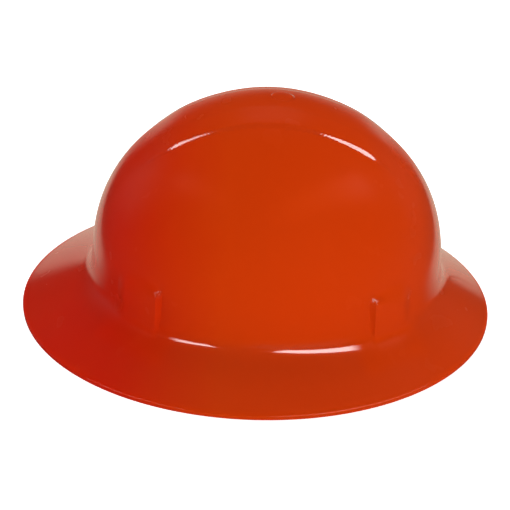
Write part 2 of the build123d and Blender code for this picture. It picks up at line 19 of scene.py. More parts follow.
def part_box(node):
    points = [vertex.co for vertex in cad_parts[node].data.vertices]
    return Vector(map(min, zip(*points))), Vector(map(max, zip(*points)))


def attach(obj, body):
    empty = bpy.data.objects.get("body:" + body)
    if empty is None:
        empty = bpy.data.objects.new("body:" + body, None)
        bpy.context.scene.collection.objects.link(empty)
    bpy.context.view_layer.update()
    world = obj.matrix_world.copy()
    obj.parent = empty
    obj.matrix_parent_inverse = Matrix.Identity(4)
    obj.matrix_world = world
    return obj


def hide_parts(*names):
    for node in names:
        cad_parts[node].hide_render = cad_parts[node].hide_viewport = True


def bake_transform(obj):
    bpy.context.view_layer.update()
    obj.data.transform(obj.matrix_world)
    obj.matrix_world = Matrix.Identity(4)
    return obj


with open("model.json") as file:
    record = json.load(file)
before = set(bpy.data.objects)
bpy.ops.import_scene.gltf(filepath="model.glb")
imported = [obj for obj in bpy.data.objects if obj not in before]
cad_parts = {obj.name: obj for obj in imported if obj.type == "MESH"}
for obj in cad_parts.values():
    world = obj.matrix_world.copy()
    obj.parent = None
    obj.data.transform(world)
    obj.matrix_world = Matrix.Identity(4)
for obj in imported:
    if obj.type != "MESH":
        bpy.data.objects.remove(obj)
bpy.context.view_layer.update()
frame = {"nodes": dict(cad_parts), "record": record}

MM = 0.001
PICTURE_SIZE = 510
SENSOR_WIDTH = 36.0
NAPE_LINE = 12.9
WHITE = "#FFFFFF"
UP = np.array([0.0, 0.0, 1.0])
LEVEL = np.array([1.0, 1.0, 0.0])
FINE_POINTS = 20001

logging.basicConfig(level=logging.INFO, format="%(name)s: %(message)s")
log = logging.getLogger("hard_hat")

Powers = tuple[float, float]


# Shapes


def smooth_step(value: np.ndarray) -> np.ndarray:
    """Returns 0 below 0, 1 above 1, and 3 t squared less 2 t cubed between."""
    share = np.clip(value, 0.0, 1.0)
    return share * share * (3.0 - 2.0 * share)


def unit(vectors: np.ndarray) -> np.ndarray:
    """Returns each vector divided by its length."""
    return vectors / np.linalg.norm(vectors, axis=-1, keepdims=True)


def direction(azimuth: float, elevation: float) -> np.ndarray:
    """Returns the direction so many degrees round from -Y towards +X, and so many above level."""
    turn, rise = np.radians(azimuth), np.radians(elevation)
    return np.array([np.sin(turn) * np.cos(rise), -np.cos(turn) * np.cos(rise), np.sin(rise)])


def running_length(points: np.ndarray) -> np.ndarray:
    """Returns how far along its line each point lies, as the running sum of the steps."""
    steps = np.linalg.norm(np.diff(points, axis=0), axis=1)
    return np.concatenate([[0.0], np.cumsum(steps)])


def even_steps(total: float, spacing: Callable[[np.ndarray], np.ndarray], count: int) -> np.ndarray:
    """Spreads places along a length so that they lie closer where the spacing is small.

    The places are where the running sum of one over the spacing reaches equal shares of its whole.

    Args:
        total: The length to divide.
        spacing: The relative distance between neighbours at each place.
        count: How many places, both ends included.

    Returns:
        The places, from 0 to the total.
    """
    fine = np.linspace(0.0, total, FINE_POINTS)
    density = 1.0 / spacing(fine)
    running = np.concatenate([[0.0], np.cumsum((density[1:] + density[:-1]) / 2.0)])
    return np.interp(np.linspace(0.0, running[-1], count), running, fine)


def bent_corner(start: np.ndarray, corner: np.ndarray, stop: np.ndarray, count: int) -> np.ndarray:
    """Rounds a corner with a parabola through its two ends, drawn towards the corner.

    Each place is (1 - t) squared of the start, 2 t (1 - t) of the corner and t squared of the stop.

    Args:
        start: Points where the rounding begins, one for each column.
        corner: The sharp corner of each column.
        stop: Points where the rounding ends.
        count: How many rows the rounding takes.

    Returns:
        The rows between start and stop, both included.
    """
    t = np.linspace(0.0, 1.0, count)[:, None, None]
    return (1 - t) ** 2 * start + 2 * t * (1 - t) * corner + t ** 2 * stop


def rounded_route(
    points: Sequence[Sequence[float]], radii: Sequence[float], step: float, arc_step: float = 9.0
) -> np.ndarray:
    """Follows straight runs whose corners are rounded by circular arcs.

    An arc starts and ends the radius times the tangent of half the turn before and after its corner, and its
    middle lies on the line that halves the corner.

    Args:
        points: The corners, with the two ends.
        radii: One radius for each inner corner.
        step: About how far apart neighbours are on a straight run.
        arc_step: About how many degrees apart they are on an arc.

    Returns:
        Points along the route.
    """

    def run(start: np.ndarray, stop: np.ndarray) -> np.ndarray:
        """Returns even places on a straight run, without the first."""
        count = max(int(np.linalg.norm(stop - start) / step), 1)
        return start + np.linspace(0.0, 1.0, count + 1)[1:, None] * (stop - start)

    corners = np.asarray(points, float)
    pieces = [corners[:1]]
    last = corners[0]
    for index, radius in enumerate(radii, start=1):
        before = unit(corners[index] - corners[index - 1])
        after = unit(corners[index + 1] - corners[index])
        turn = np.arccos(np.clip(before @ after, -1.0, 1.0))
        reach = radius * np.tan(turn / 2.0)
        start = corners[index] - before * reach
        centre = corners[index] + unit(after - before) * radius / np.cos(turn / 2.0)
        angles = np.linspace(0.0, turn, max(int(np.degrees(turn) / arc_step), 3))[:, None]
        inward = unit(start - centre)
        arc = centre + radius * (np.cos(angles) * inward + np.sin(angles) * before)
        pieces += [run(last, start), arc[1:]]
        last = arc[-1]
    pieces.append(run(last, corners[-1]))
    return np.concatenate(pieces)


def oblong_section(width: float, thickness: float, edge: float, count: int) -> np.ndarray:
    """Outlines a flat bar's section as a rectangle whose ends are rounded.

    Args:
        width: Across the bar.
        thickness: Through the bar.
        edge: Radius of the rounded edges.
        count: Points on each rounded corner.

    Returns:
        Pairs of places across and through, anticlockwise and not closed.
    """
    quarter = np.linspace(0.0, np.pi / 2.0, count)
    signs = ((1, 1), (-1, 1), (-1, -1), (1, -1))
    corners = []
    for number, (across, through) in enumerate(signs):
        angle = quarter + number * np.pi / 2.0
        centre = np.array([across * (width / 2.0 - edge), through * (thickness / 2.0 - edge)])
        corners.append(centre + edge * np.stack([np.cos(angle), np.sin(angle)], axis=1))
    return np.concatenate(corners)


class Ends(Enum):
    """How the first and last ring of a grid are closed."""

    OPEN = "open"
    POLES = "poles"


@dataclass
class Grid:
    """A surface on a grid whose columns close on themselves.

    Attributes:
        points: Rows of columns of places in millimetres.
        ends: How the first and last ring are closed.
        lengths: For a pattern that follows the surface, the running length of the rows, and of the columns
            with one more value for the step that closes them.
        polish: How far each place is polished, from 0 to 1.
    """

    points: np.ndarray
    ends: Ends = Ends.POLES
    lengths: Optional[tuple[np.ndarray, np.ndarray]] = None
    polish: Optional[np.ndarray] = None

    def corner_indices(self) -> tuple[np.ndarray, np.ndarray]:
        """Numbers the corners of every quad.

        Returns:
            The rows of each quad's four corners, and their columns, of which the last isn't yet wrapped.
        """
        rows, columns = self.points.shape[:2]
        row, column = np.meshgrid(np.arange(rows - 1), np.arange(columns), indexing="ij")
        corners_row = np.stack([row, row + 1, row + 1, row], axis=-1).reshape(-1, 4)
        corners_column = np.stack([column, column, column + 1, column + 1], axis=-1).reshape(-1, 4)
        return corners_row, corners_column

    def piece(self, name: str) -> bpy.types.Object:
        """Makes the mesh, with its faces pointing outwards.

        Six times the volume is the sum over the faces of one corner dotted with the cross product of two
        edges. Where it comes out below zero, the faces are turned round.

        Args:
            name: The piece's name.

        Returns:
            The new object.
        """
        rows, columns = self.points.shape[:2]
        row, column = self.corner_indices()
        quads = row * columns + column % columns
        vertices = self.points.reshape(-1, 3)
        fans = np.empty((0, 3), int)
        if self.ends is Ends.POLES:
            poles = self.points[[0, -1]].mean(axis=1)
            vertices = np.concatenate([vertices, poles])
            first = np.arange(columns)
            after = (first + 1) % columns
            last = (rows - 1) * columns
            start = np.stack([np.full(columns, rows * columns), first, after], axis=1)
            stop = np.stack([np.full(columns, rows * columns + 1), last + after, last + first], axis=1)
            fans = np.concatenate([start, stop])
        a, b, c, d = (vertices[quads[:, corner]] for corner in range(4))
        volume = (a * np.cross(b - a, c - a)).sum() + (a * np.cross(c - a, d - a)).sum()
        if volume < 0.0:
            quads, row, column, fans = quads[:, ::-1], row[:, ::-1], column[:, ::-1], fans[:, ::-1]
        mesh = bpy.data.meshes.new(name)
        mesh.from_pydata((vertices * MM).tolist(), [], quads.tolist() + fans.tolist())
        if self.lengths is not None:
            along, across = self.lengths
            corners = np.stack([along[row], across[column]], axis=-1).reshape(-1, 2)
            fan_corners = np.repeat([[along[0], across[0]]], fans.size, axis=0)
            pattern = np.concatenate([corners, fan_corners]) * MM
            mesh.uv_layers.new(name="surface").data.foreach_set("uv", pattern.ravel().astype(np.float32))
        if self.polish is not None:
            values = np.append(self.polish.ravel(), [0.0] * (len(vertices) - self.polish.size))
            polish = mesh.attributes.new("polish", "FLOAT", "POINT")
            polish.data.foreach_set("value", values.astype(np.float32))
        mesh.validate()
        mesh.shade_smooth()
        obj = bpy.data.objects.new(name, mesh)
        bpy.context.scene.collection.objects.link(obj)
        return obj


def swept_grid(route: np.ndarray, wide: np.ndarray, section: np.ndarray) -> Grid:
    """Carries a section along a route.

    Each ring is the route's place, plus the section's first value along the width and its second along the
    thickness, which is square to the width and to the route's own direction.

    Args:
        route: Places along the middle of the piece.
        wide: The width's direction at each place.
        section: Pairs of places across and through.

    Returns:
        The closed surface, with the lengths along and around it.
    """
    ahead = unit(np.gradient(route, axis=0))
    wide = unit(wide - ahead * (wide * ahead).sum(axis=1, keepdims=True))
    thick = np.cross(ahead, wide)
    points = route[:, None] + section[None, :, :1] * wide[:, None] + section[None, :, 1:] * thick[:, None]
    around = running_length(np.concatenate([section, section[:1]]))
    return Grid(points, lengths=(running_length(route), around))


# Finishes


# Nearly all of a noise texture's values lie between these two
NOISE_LOW = 0.3
NOISE_HIGH = 0.7


def linear(colour: str) -> tuple[float, float, float, float]:
    """Turns a colour as it looks on a screen to the linear one that a shader takes.

    Args:
        colour: A hash and six hex digits.

    Returns:
        Red, green, blue and an alpha of 1.
    """
    parts = [int(colour[place:place + 2], 16) / 255.0 for place in (1, 3, 5)]
    red, green, blue = (
        part / 12.92 if part <= 0.04045 else ((part + 0.055) / 1.055) ** 2.4 for part in parts
    )
    return red, green, blue, 1.0


def per_metre(size: float) -> float:
    """Returns the texture scale at which a pattern repeats every so many millimetres."""
    return 1.0 / (size * MM)


Setting = Union[float, str, Sequence[float], bpy.types.NodeSocket, bpy.types.Node]
Adder = Callable[..., bpy.types.Node]


def add_node(
    tree: bpy.types.NodeTree,
    kind: str,
    inputs: Optional[dict[Any, Setting]] = None,
    stops: Sequence[tuple[float, str]] = (),
    **fields: Any,
) -> bpy.types.Node:
    """Adds one node with its settings and links.

    Args:
        tree: The nodes that it joins.
        kind: The node's type, without the ShaderNode in front.
        inputs: For each input, by name or number, its value or the socket that feeds it. A node feeds it
            from its first output.
        stops: The place and the colour of a ramp's two stops.
        **fields: The node's own properties.

    Returns:
        The node.
    """
    node = tree.nodes.new("ShaderNode" + kind)
    for field, value in fields.items():
        setattr(node, field, value)
    for number, (place, colour) in enumerate(stops):
        node.color_ramp.elements[number].position = place
        node.color_ramp.elements[number].color = linear(colour)
    for socket, value in (inputs or {}).items():
        if isinstance(value, bpy.types.Node):
            value = value.outputs[0]
        if isinstance(value, bpy.types.NodeSocket):
            tree.links.new(value, node.inputs[socket])
        else:
            node.inputs[socket].default_value = value
    return node


def fresh_nodes(owner: Union[bpy.types.Material, bpy.types.World]) -> Adder:
    """Clears the nodes of a material or of the world.

    Args:
        owner: What the nodes belong to.

    Returns:
        The function that adds new ones to it.
    """
    owner.use_nodes = True
    owner.node_tree.nodes.clear()
    return partial(add_node, owner.node_tree)


class Substance:
    """What a surface is made of, and what that gives the eye."""

    name: str

    def shader(self, add: Adder) -> bpy.types.Node:
        """Adds the nodes of the surface.

        Args:
            add: Adds one node to the material.

        Returns:
            The last of them.
        """
        raise NotImplementedError

    def build(self) -> bpy.types.Material:
        """Builds the material.

        Returns:
            The material, its surface linked to the output.
        """
        material = bpy.data.materials.new(self.name)
        add = fresh_nodes(material)
        add("OutputMaterial", {"Surface": self.shader(add)})
        return material


@dataclass(frozen=True)
class GlossyPolyethylene(Substance):
    """High density polyethylene, injection moulded in a polished tool and coloured right through.

    It has a deep colour and a skin that waves a little where it shrank in the mould. Painted shade makes the
    colour redder towards the front of the hat, and painted light makes it more orange towards the rear.
    Wiping has dulled its broad faces to a satin, and its edges and hollows keep the tool's gloss and catch
    thin highlights.
    """

    name: str = "red_orange_polyethylene"
    satin_tint: str = "#98421A"
    ior: float = 1.54
    specular: float = 0.1
    # Painted shade and painted light: the colour runs from the red at the front to the orange at the rear,
    # over this reach along X
    red_painted_shade_colour: str = "#BF1B06"
    orange_painted_light_colour: str = "#C63706"
    painted_shade_reach: tuple[float, float] = (-105.0, 5.0)
    cloud_size: float = 45.0
    cloud_share: float = 0.3
    roughness: float = 0.26
    wiped: float = 0.02
    wiped_size: float = 22.0
    gloss_roughness: float = 0.08
    gloss_ior: float = 1.6
    wave_size: float = 16.0
    wave_depth: float = 0.03
    skin_size: float = 1.6
    skin_depth: float = 0.0025

    def shader(self, add: Adder) -> bpy.types.Node:
        """Adds the plastic's colour, satin, polish and waves.

        Args:
            add: Adds one node to the material.

        Returns:
            The node of the whole surface.
        """
        place = add("TexCoord").outputs["Object"]
        front, rear = (reach * MM for reach in self.painted_shade_reach)
        # The share along X of the painted shade at the front and the painted light at the rear
        along = add("MapRange", {
            "Value": add("SeparateXYZ", {"Vector": place}).outputs["X"], "From Min": front, "From Max": rear,
        }, interpolation_type="SMOOTHSTEP")
        cloud = add("TexNoise", {"Vector": place, "Scale": per_metre(self.cloud_size), "Detail": 3.0})
        # The plastic's own random mottle, added to the painted shade and light along X
        shade = add("Math", {0: cloud, 1: self.cloud_share, 2: along}, operation="MULTIPLY_ADD")
        colour = add("ValToRGB", {"Fac": shade}, stops=((0.1, self.red_painted_shade_colour), (1.0, self.orange_painted_light_colour)))
        scuffs = add("TexNoise", {
            "Vector": place, "Scale": per_metre(self.wiped_size), "Detail": 2.0, "Roughness": 0.5,
        })
        wiped = add("MapRange", {
            "Value": scuffs, "From Min": NOISE_LOW, "From Max": NOISE_HIGH,
            "To Min": self.roughness - self.wiped, "To Max": self.roughness + self.wiped,
        })
        wave = add("TexNoise", {"Vector": place, "Scale": per_metre(self.wave_size), "Detail": 1.0})
        waves = add("Bump", {"Height": wave, "Distance": self.wave_depth * MM})
        skin = add("TexNoise", {"Vector": place, "Scale": per_metre(self.skin_size), "Detail": 2.0})
        return add("BsdfPrincipled", {
            "Base Color": colour,
            "Roughness": wiped,
            "IOR": self.ior,
            "Specular IOR Level": self.specular,
            # Light that the satin skin sends back has gone into the coloured plastic first
            "Specular Tint": linear(self.satin_tint),
            # The polish is the same plastic, where the tool's gloss is left
            "Coat Weight": add("Attribute", attribute_name="polish").outputs["Fac"],
            "Coat Roughness": self.gloss_roughness,
            "Coat IOR": self.gloss_ior,
            "Coat Normal": waves,
            "Normal": add("Bump", {"Height": skin, "Distance": self.skin_depth * MM, "Normal": waves}),
        })


@dataclass(frozen=True)
class SatinPlastic(Substance):
    """An unpainted moulding out of a spark eroded tool: a fine even grain that spreads the light."""

    name: str
    colour: str
    mottle_colour: str
    roughness: float
    ior: float = 1.53
    uneven: float = 0.06
    cloud_size: float = 12.0
    grain_size: float = 0.45
    grain_depth: float = 0.012

    def shader(self, add: Adder) -> bpy.types.Node:
        """Adds the plastic's mottle and grain.

        Args:
            add: Adds one node to the material.

        Returns:
            The node of the whole surface.
        """
        place = add("TexCoord").outputs["Object"]
        cloud = add("TexNoise", {"Vector": place, "Scale": per_metre(self.cloud_size), "Detail": 4.0})
        # The real grain is near 0.05 mm and would not show, so it is drawn coarser
        grain = add("TexNoise", {"Vector": place, "Scale": per_metre(self.grain_size), "Detail": 2.0})
        sheen = add("MapRange", {
            "Value": cloud, "From Min": NOISE_LOW, "From Max": NOISE_HIGH,
            "To Min": self.roughness - self.uneven, "To Max": self.roughness + self.uneven,
        })
        return add("BsdfPrincipled", {
            "Base Color": add(
                "ValToRGB", {"Fac": cloud}, stops=((0.35, self.mottle_colour), (0.65, self.colour))
            ),
            "Roughness": sheen,
            "IOR": self.ior,
            "Normal": add("Bump", {"Height": grain, "Distance": self.grain_depth * MM}),
        })


@dataclass(frozen=True)
class WovenWebbing(Substance):
    """Polyester webbing: flat warp ribs along the strap, with the weft passing over and under them."""

    name: str = "polyester_webbing"
    colour: str = "#C9C8C2"
    shadow_colour: str = "#8E8D88"
    rib_pitch: float = 1.5
    weft_pitch: float = 1.1
    fibre_size: float = 0.4
    fibre_share: float = 0.4
    depth: float = 0.16
    roughness: float = 0.78
    sheen: float = 0.25

    def shader(self, add: Adder) -> bpy.types.Node:
        """Adds the weave, which follows the strap's own surface map.

        Args:
            add: Adds one node to the material.

        Returns:
            The node of the whole surface.
        """
        surface = add("UVMap", uv_map="surface")
        split = add("SeparateXYZ", {"Vector": surface})
        turns = [
            add("Math", {0: split.outputs[axis], 1: 2.0 * np.pi * per_metre(pitch)}, operation="MULTIPLY")
            for axis, pitch in (("X", self.weft_pitch), ("Y", self.rib_pitch))
        ]
        weft, rib = (add("Math", {0: turn}, operation="SINE") for turn in turns)
        # Every second rib is raised where its neighbour is sunk, as in a plain weave
        weave = add("Math", {0: weft, 1: rib}, operation="MULTIPLY")
        height = add("Math", {0: weave, 1: 0.5, 2: 0.5}, operation="MULTIPLY_ADD")
        fibre = add("TexNoise", {"Vector": surface, "Scale": per_metre(self.fibre_size), "Detail": 2.0})
        mixed = add("Math", {0: fibre, 1: self.fibre_share, 2: height}, operation="MULTIPLY_ADD")
        return add("BsdfPrincipled", {
            "Base Color": add(
                "ValToRGB", {"Fac": mixed}, stops=((0.15, self.shadow_colour), (0.75, self.colour))
            ),
            "Roughness": self.roughness,
            "Sheen Weight": self.sheen,
            "Normal": add("Bump", {"Height": mixed, "Distance": self.depth * MM}),
        })


@dataclass(frozen=True)
class KnittedCover(Substance):
    """Brushed polyester knit over foam: small loops in rows with painted shade between them, a soft edge of
    fibre and no shine.
    """

    name: str = "knitted_pad_cover"
    colour: str = "#26262A"
    raised_painted_light_colour: str = "#3B3B40"
    loop_size: float = 1.3
    uneven: float = 0.25
    fuzz_size: float = 0.5
    fuzz_share: float = 0.5
    depth: float = 0.22
    roughness: float = 0.9
    sheen: float = 0.35
    sheen_roughness: float = 0.4

    def shader(self, add: Adder) -> bpy.types.Node:
        """Adds the loops, which follow the pad's own surface map.

        Args:
            add: Adds one node to the material.

        Returns:
            The node of the whole surface.
        """
        surface = add("UVMap", uv_map="surface")
        loops = add("TexVoronoi", {
            "Vector": surface, "Scale": per_metre(self.loop_size), "Randomness": self.uneven,
        }, feature="SMOOTH_F1")
        fuzz = add("TexNoise", {"Vector": surface, "Scale": per_metre(self.fuzz_size), "Detail": 3.0})
        height = add("Math", {0: fuzz, 1: self.fuzz_share, 2: loops}, operation="MULTIPLY_ADD")
        # Painted light and painted shade: the loops' raised tops get the lighter colour and the sunk gaps
        # between them the darker one
        return add("BsdfPrincipled", {
            "Base Color": add(
                "ValToRGB", {"Fac": height}, stops=((0.3, self.raised_painted_light_colour), (0.9, self.colour))
            ),
            "Roughness": self.roughness,
            "Sheen Weight": self.sheen,
            "Sheen Roughness": self.sheen_roughness,
            "Normal": add("Bump", {"Height": height, "Distance": self.depth * MM}, invert=True),
        })


@dataclass(frozen=True)
class ZincPlatedSteel(Substance):
    """Turned and zinc plated steel: a bluish grey with fine turning marks."""

    name: str = "zinc_plated_steel"
    colour: str = "#B9BDC2"
    roughness: float = 0.34
    uneven: float = 0.1
    mark_size: float = 0.25
    mark_depth: float = 0.01

    def shader(self, add: Adder) -> bpy.types.Node:
        """Adds the plated metal and its marks.

        Args:
            add: Adds one node to the material.

        Returns:
            The node of the whole surface.
        """
        place = add("TexCoord").outputs["Object"]
        marks = add("TexNoise", {"Vector": place, "Scale": per_metre(self.mark_size)})
        low, high = self.roughness - self.uneven, self.roughness + self.uneven
        return add("BsdfPrincipled", {
            "Base Color": linear(self.colour),
            "Metallic": 1.0,
            "Roughness": add("MapRange", {"Value": marks, "To Min": low, "To Max": high}),
            "Normal": add("Bump", {"Height": marks, "Distance": self.mark_depth * MM}),
        })


class Finish(Enum):
    """The finishes of the hat, each with the material slot that it stands for."""

    SHELL = ("shell", GlossyPolyethylene())
    NYLON = ("suspension", SatinPlastic("light_grey_nylon", "#CFCFCA", "#C4C4BF", 0.42))
    WEBBING = ("webbing", WovenWebbing())
    BROW_KNIT = ("brow_pad", KnittedCover())
    NAPE_KNIT = ("nape_pad", KnittedCover())
    BLACK_NYLON = ("ratchet", SatinPlastic("black_glass_nylon", "#1E1E20", "#19191B", 0.46))
    ACETAL = ("gear", SatinPlastic("natural_acetal", "#E4E2D8", "#DAD8CE", 0.36, ior=1.48))
    STEEL = ("screws", ZincPlatedSteel())

    @property
    def slot(self) -> str:
        """The record's name for the finish."""
        return self.value[0]

    @cache
    def material(self) -> bpy.types.Material:
        """Returns the finish's material, which is built once."""
        return self.value[1].build()


def dress(piece: bpy.types.Object, finish: Finish) -> None:
    """Gives a piece one finish.

    Args:
        piece: The piece.
        finish: Its finish, which replaces any that it came with.
    """
    piece.data.materials.clear()
    piece.data.materials.append(finish.material())


# Shell


@dataclass(frozen=True)
class Pocket:
    """A place where the wall bulges over the socket of a suspension key.

    Attributes:
        fore: -1 at the front and 1 at the rear.
        side: -1 on the near side and 1 on the far side.
        origin: Where the wall's line passes the pocket's middle, at the crease.
        along: Level direction along the wall.
        outward: Out of the wall and leaning up with it.
        up: Up along the leaning wall.
    """

    fore: int
    side: int
    origin: np.ndarray
    along: np.ndarray
    outward: np.ndarray
    up: np.ndarray

    def at(self, along: float, outward: float, up: float) -> np.ndarray:
        """Returns a place given by its distances in the pocket's leaning directions."""
        return self.origin + along * self.along + outward * self.outward + up * self.up

    def upright_at(self, outward: float, up: float) -> np.ndarray:
        """Returns a place given by its level distance out of the wall and its height above the crease."""
        level = unit(self.outward * LEVEL)
        return self.origin + outward * level + up * UP


@dataclass
class Shell:
    """The moulded shell: a dome, a brim that turns out of it, and the relief on its skin.

    Attributes:
        pocket_fade_shifts: How far past the crisp edge, and out from the face, the skin turns dull, in fades.
        top_power: Of the steps down the side meridian, which are small at the top and grow.
        top_density: By what share the rows move closer at the top, down to where, and the fade after it.
        crease_density: By what share they move closer at the crease, and how far from it.
        pocket_density: By what share the columns move closer at a pocket, how far from it in fades, and the
            fade in radians.
    """

    # Dome, brim and lip
    dome_offset: float = 7.4
    dome_length: float = 256.0
    dome_width: float = 204.0
    crease_height: float = 26.5
    crown_height: float = 135.4
    crease_radius: float = 6.0
    wall: float = 2.4
    lip_height: float = 3.0
    length_powers: Powers = (2.5, 1.77)
    width_powers: Powers = (2.2, 1.93)
    lip_edge: float = 0.8
    # Crown panel, the ridge on it and the gate mark
    panel_half_width: float = 32.0
    panel_edge: float = 1.7
    panel_rise: float = 1.3
    panel_fade: tuple[float, float] = (58.0, 90.0)
    ridge_half_width: float = 16.0
    ridge_edge: float = 5.0
    ridge_rise: float = 0.25
    gate_mark_radius: float = 7.5
    gate_mark_rise: float = 0.5
    gate_mark_edge: float = 0.9
    gate_mark_offset: float = 7.0
    # Pockets, and the sockets in them
    pocket_reach: float = 84.0
    pocket_half_widths: tuple[float, float] = (17.5, 15.0)
    pocket_height: float = 28.0
    pocket_proud: float = 4.4
    pocket_lean: float = 5.6
    pocket_foot_radius: float = 2.2
    pocket_crisp_edge: float = 2.0
    pocket_crisp_shift: float = 0.2
    pocket_soft_edge: float = 13.0
    pocket_top_edges: tuple[float, float] = (3.0, 16.0)
    pocket_top_run: float = 18.0
    pocket_area: float = 2.5
    socket_width: float = 26.0
    socket_depth: float = 2.8
    socket_height: float = 24.0
    socket_wall: float = 2.0
    socket_sharp_angle: float = 40.0
    # Where the skin is polished or dull
    pocket_fade: float = 11.0
    pocket_fade_shifts: tuple[float, float] = (1.8, 2.0)
    glint_height: float = 5.0
    step_polish: float = 0.1
    polish_tilt: float = 0.16
    polish_run: float = 8.0
    polish_ends: float = 0.72
    polish_fade: float = 0.16
    end_polish: float = 0.7
    lip_run: float = 3.0
    inner_polish: float = 0.3
    # Grid
    dome_points: int = 6001
    brim_points: int = 1501
    top_power: int = 4
    top_density: tuple[float, float, float] = (0.7, 10.0, 14.0)
    crease_density: tuple[float, float] = (0.35, 16.0)
    pocket_density: tuple[float, float, float] = (0.6, 1.6, 0.2)
    lip_rows: int = 6
    lip_blend: float = 1.6
    columns: int = 368
    outer_rows: int = 176
    inner_rows: int = 62

    def __post_init__(self) -> None:
        """Takes the brim's length and width from the frame's own shell."""
        low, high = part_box("shell")
        self.brim_length = (high.x - low.x) / MM
        self.brim_width = (high.y - low.y) / MM

    def dome_radius(self, z: np.ndarray, base: float, powers: Powers) -> np.ndarray:
        """Returns the dome's half length or width: base times (1 - share ^ p) ^ (1 / q) of the height."""
        share = np.clip((z - self.crease_height) / self.crown_height, 0.0, 1.0)
        return base * (1.0 - share ** powers[0]) ** (1.0 / powers[1])

    def flare(self, z: np.ndarray) -> np.ndarray:
        """Returns how far the brim has run out below the crease, a hyperbola that turns softly."""
        drop = self.crease_height - z
        return (drop + np.hypot(drop, self.crease_radius)) / 2.0

    def skin_radius(self, z: np.ndarray, reach: float, base: float, powers: Powers) -> np.ndarray:
        """Gives the skin's radius on one meridian: the dome's, plus the flare scaled to meet the rim.

        Args:
            z: Heights.
            reach: The rim's radius.
            base: The dome's radius at the crease.
            powers: The roundness of the dome's side.

        Returns:
            The radius at each height.
        """
        rim = np.asarray(self.lip_height)
        slope = (reach - self.dome_radius(rim, base, powers)) / self.flare(rim)
        return self.dome_radius(z, base, powers) + slope * self.flare(z)

    def skin(self, z: np.ndarray, angle: np.ndarray) -> np.ndarray:
        """Places points on the plain skin.

        At each height the skin is an ellipse, whose centre lies midway between its front and rear radius.

        Args:
            z: Heights, one for each row.
            angle: Angles from the rear, one for each column.

        Returns:
            Rows of columns of places.
        """
        half = self.dome_length / 2.0
        front = self.skin_radius(z, self.brim_length / 2.0 + self.dome_offset, half, self.length_powers)
        rear = self.skin_radius(z, self.brim_length / 2.0 - self.dome_offset, half, self.length_powers)
        side = self.skin_radius(z, self.brim_width / 2.0, self.dome_width / 2.0, self.width_powers)
        centre, half_length = (rear - front) / 2.0, (rear + front) / 2.0
        x = self.dome_offset + centre[:, None] + half_length[:, None] * np.cos(angle)
        y = side[:, None] * np.sin(angle)
        return np.stack([x, y, np.broadcast_to(z[:, None], x.shape)], axis=-1)

    def profile(self) -> tuple[np.ndarray, np.ndarray]:
        """Measures the side meridian from the crown down to the rim.

        Returns:
            Running lengths from the top, and the height at each.
        """
        share = 1.0 - np.linspace(0.0, 1.0, self.dome_points) ** self.top_power
        crown = self.crease_height + share * self.crown_height
        brim = np.linspace(self.crease_height, self.lip_height, self.brim_points)[1:]
        z = np.concatenate([crown, brim])
        side = self.skin(z, np.array([np.pi / 2.0]))[:, 0, 1]
        steps = np.hypot(np.diff(side), np.diff(z))
        return np.concatenate([[0.0], np.cumsum(steps)]), z

    def angles(self) -> np.ndarray:
        """Spreads the columns so that they lie closer together over the pockets.

        Returns:
            Their angles from the rear.
        """
        middle = np.arccos(self.pocket_reach / (self.dome_length / 2.0))
        dense, reach, fade = self.pocket_density

        def spacing(angle: np.ndarray) -> np.ndarray:
            """Returns 1 less a smooth step that falls with the angle to the nearest pocket."""
            fold = np.abs((angle + np.pi / 2.0) % np.pi - np.pi / 2.0)
            return 1.0 - dense * smooth_step(reach - np.abs(fold - middle) / fade)

        return even_steps(2.0 * np.pi, spacing, self.columns + 1)[:-1]

    def normals(self, points: np.ndarray) -> np.ndarray:
        """Gives the skin's outward direction: the cross product of its slopes down and around.

        Args:
            points: Places on a grid whose rows run down and whose columns run round.

        Returns:
            The direction at each place.
        """
        down = np.gradient(points, axis=0)
        wrapped = np.concatenate([points[:, -1:], points, points[:, :1]], axis=1)
        around = np.gradient(wrapped, axis=1)[:, 1:-1]
        return unit(np.cross(down, around))

    def pockets(self) -> list[Pocket]:
        """Places the four pockets, each where the dome's ellipse at the crease has its reach.

        Returns:
            The front ones and then the rear ones, the near side first.
        """
        half_length, half_width = self.dome_length / 2.0, self.dome_width / 2.0
        across = half_width * np.sqrt(1.0 - (self.pocket_reach / half_length) ** 2)
        lean = np.radians(self.pocket_lean)
        found = []
        for fore in (-1, 1):
            for side in (-1, 1):
                x, y = fore * self.pocket_reach, side * across
                level = unit(np.array([x / half_length ** 2, y / half_width ** 2, 0.0]))
                found.append(Pocket(
                    fore,
                    side,
                    origin=np.array([self.dome_offset + x, y, self.crease_height]),
                    along=np.array([level[1], -level[0], 0.0]),
                    outward=level * np.cos(lean) + UP * np.sin(lean),
                    up=UP * np.cos(lean) - level * np.sin(lean),
                ))
        return found

    def crown_relief(self, points: np.ndarray) -> np.ndarray:
        """Raises the crown panel, the ridge on it and the round gate mark.

        The panel is a smooth step across its straight edges that fades towards its ends, the ridge is a lower
        and softer step inside it, and the mark is a disc a little behind the dome's middle.

        Args:
            points: Places on the plain skin.

        Returns:
            How far each place is raised.
        """
        along = np.abs(points[..., 0] - self.dome_offset)
        across = np.abs(points[..., 1])
        start, stop = self.panel_fade
        fade = 1.0 - smooth_step((along - start) / (stop - start))
        panel = smooth_step((self.panel_half_width - across) / self.panel_edge + 0.5)
        ridge = smooth_step((self.ridge_half_width - across) / self.ridge_edge + 0.5)
        behind = points[..., 0] - self.dome_offset - self.gate_mark_offset
        mark = smooth_step((self.gate_mark_radius - np.hypot(behind, across)) / self.gate_mark_edge + 0.5)
        return fade * (self.panel_rise * panel + self.ridge_rise * ridge) + self.gate_mark_rise * mark

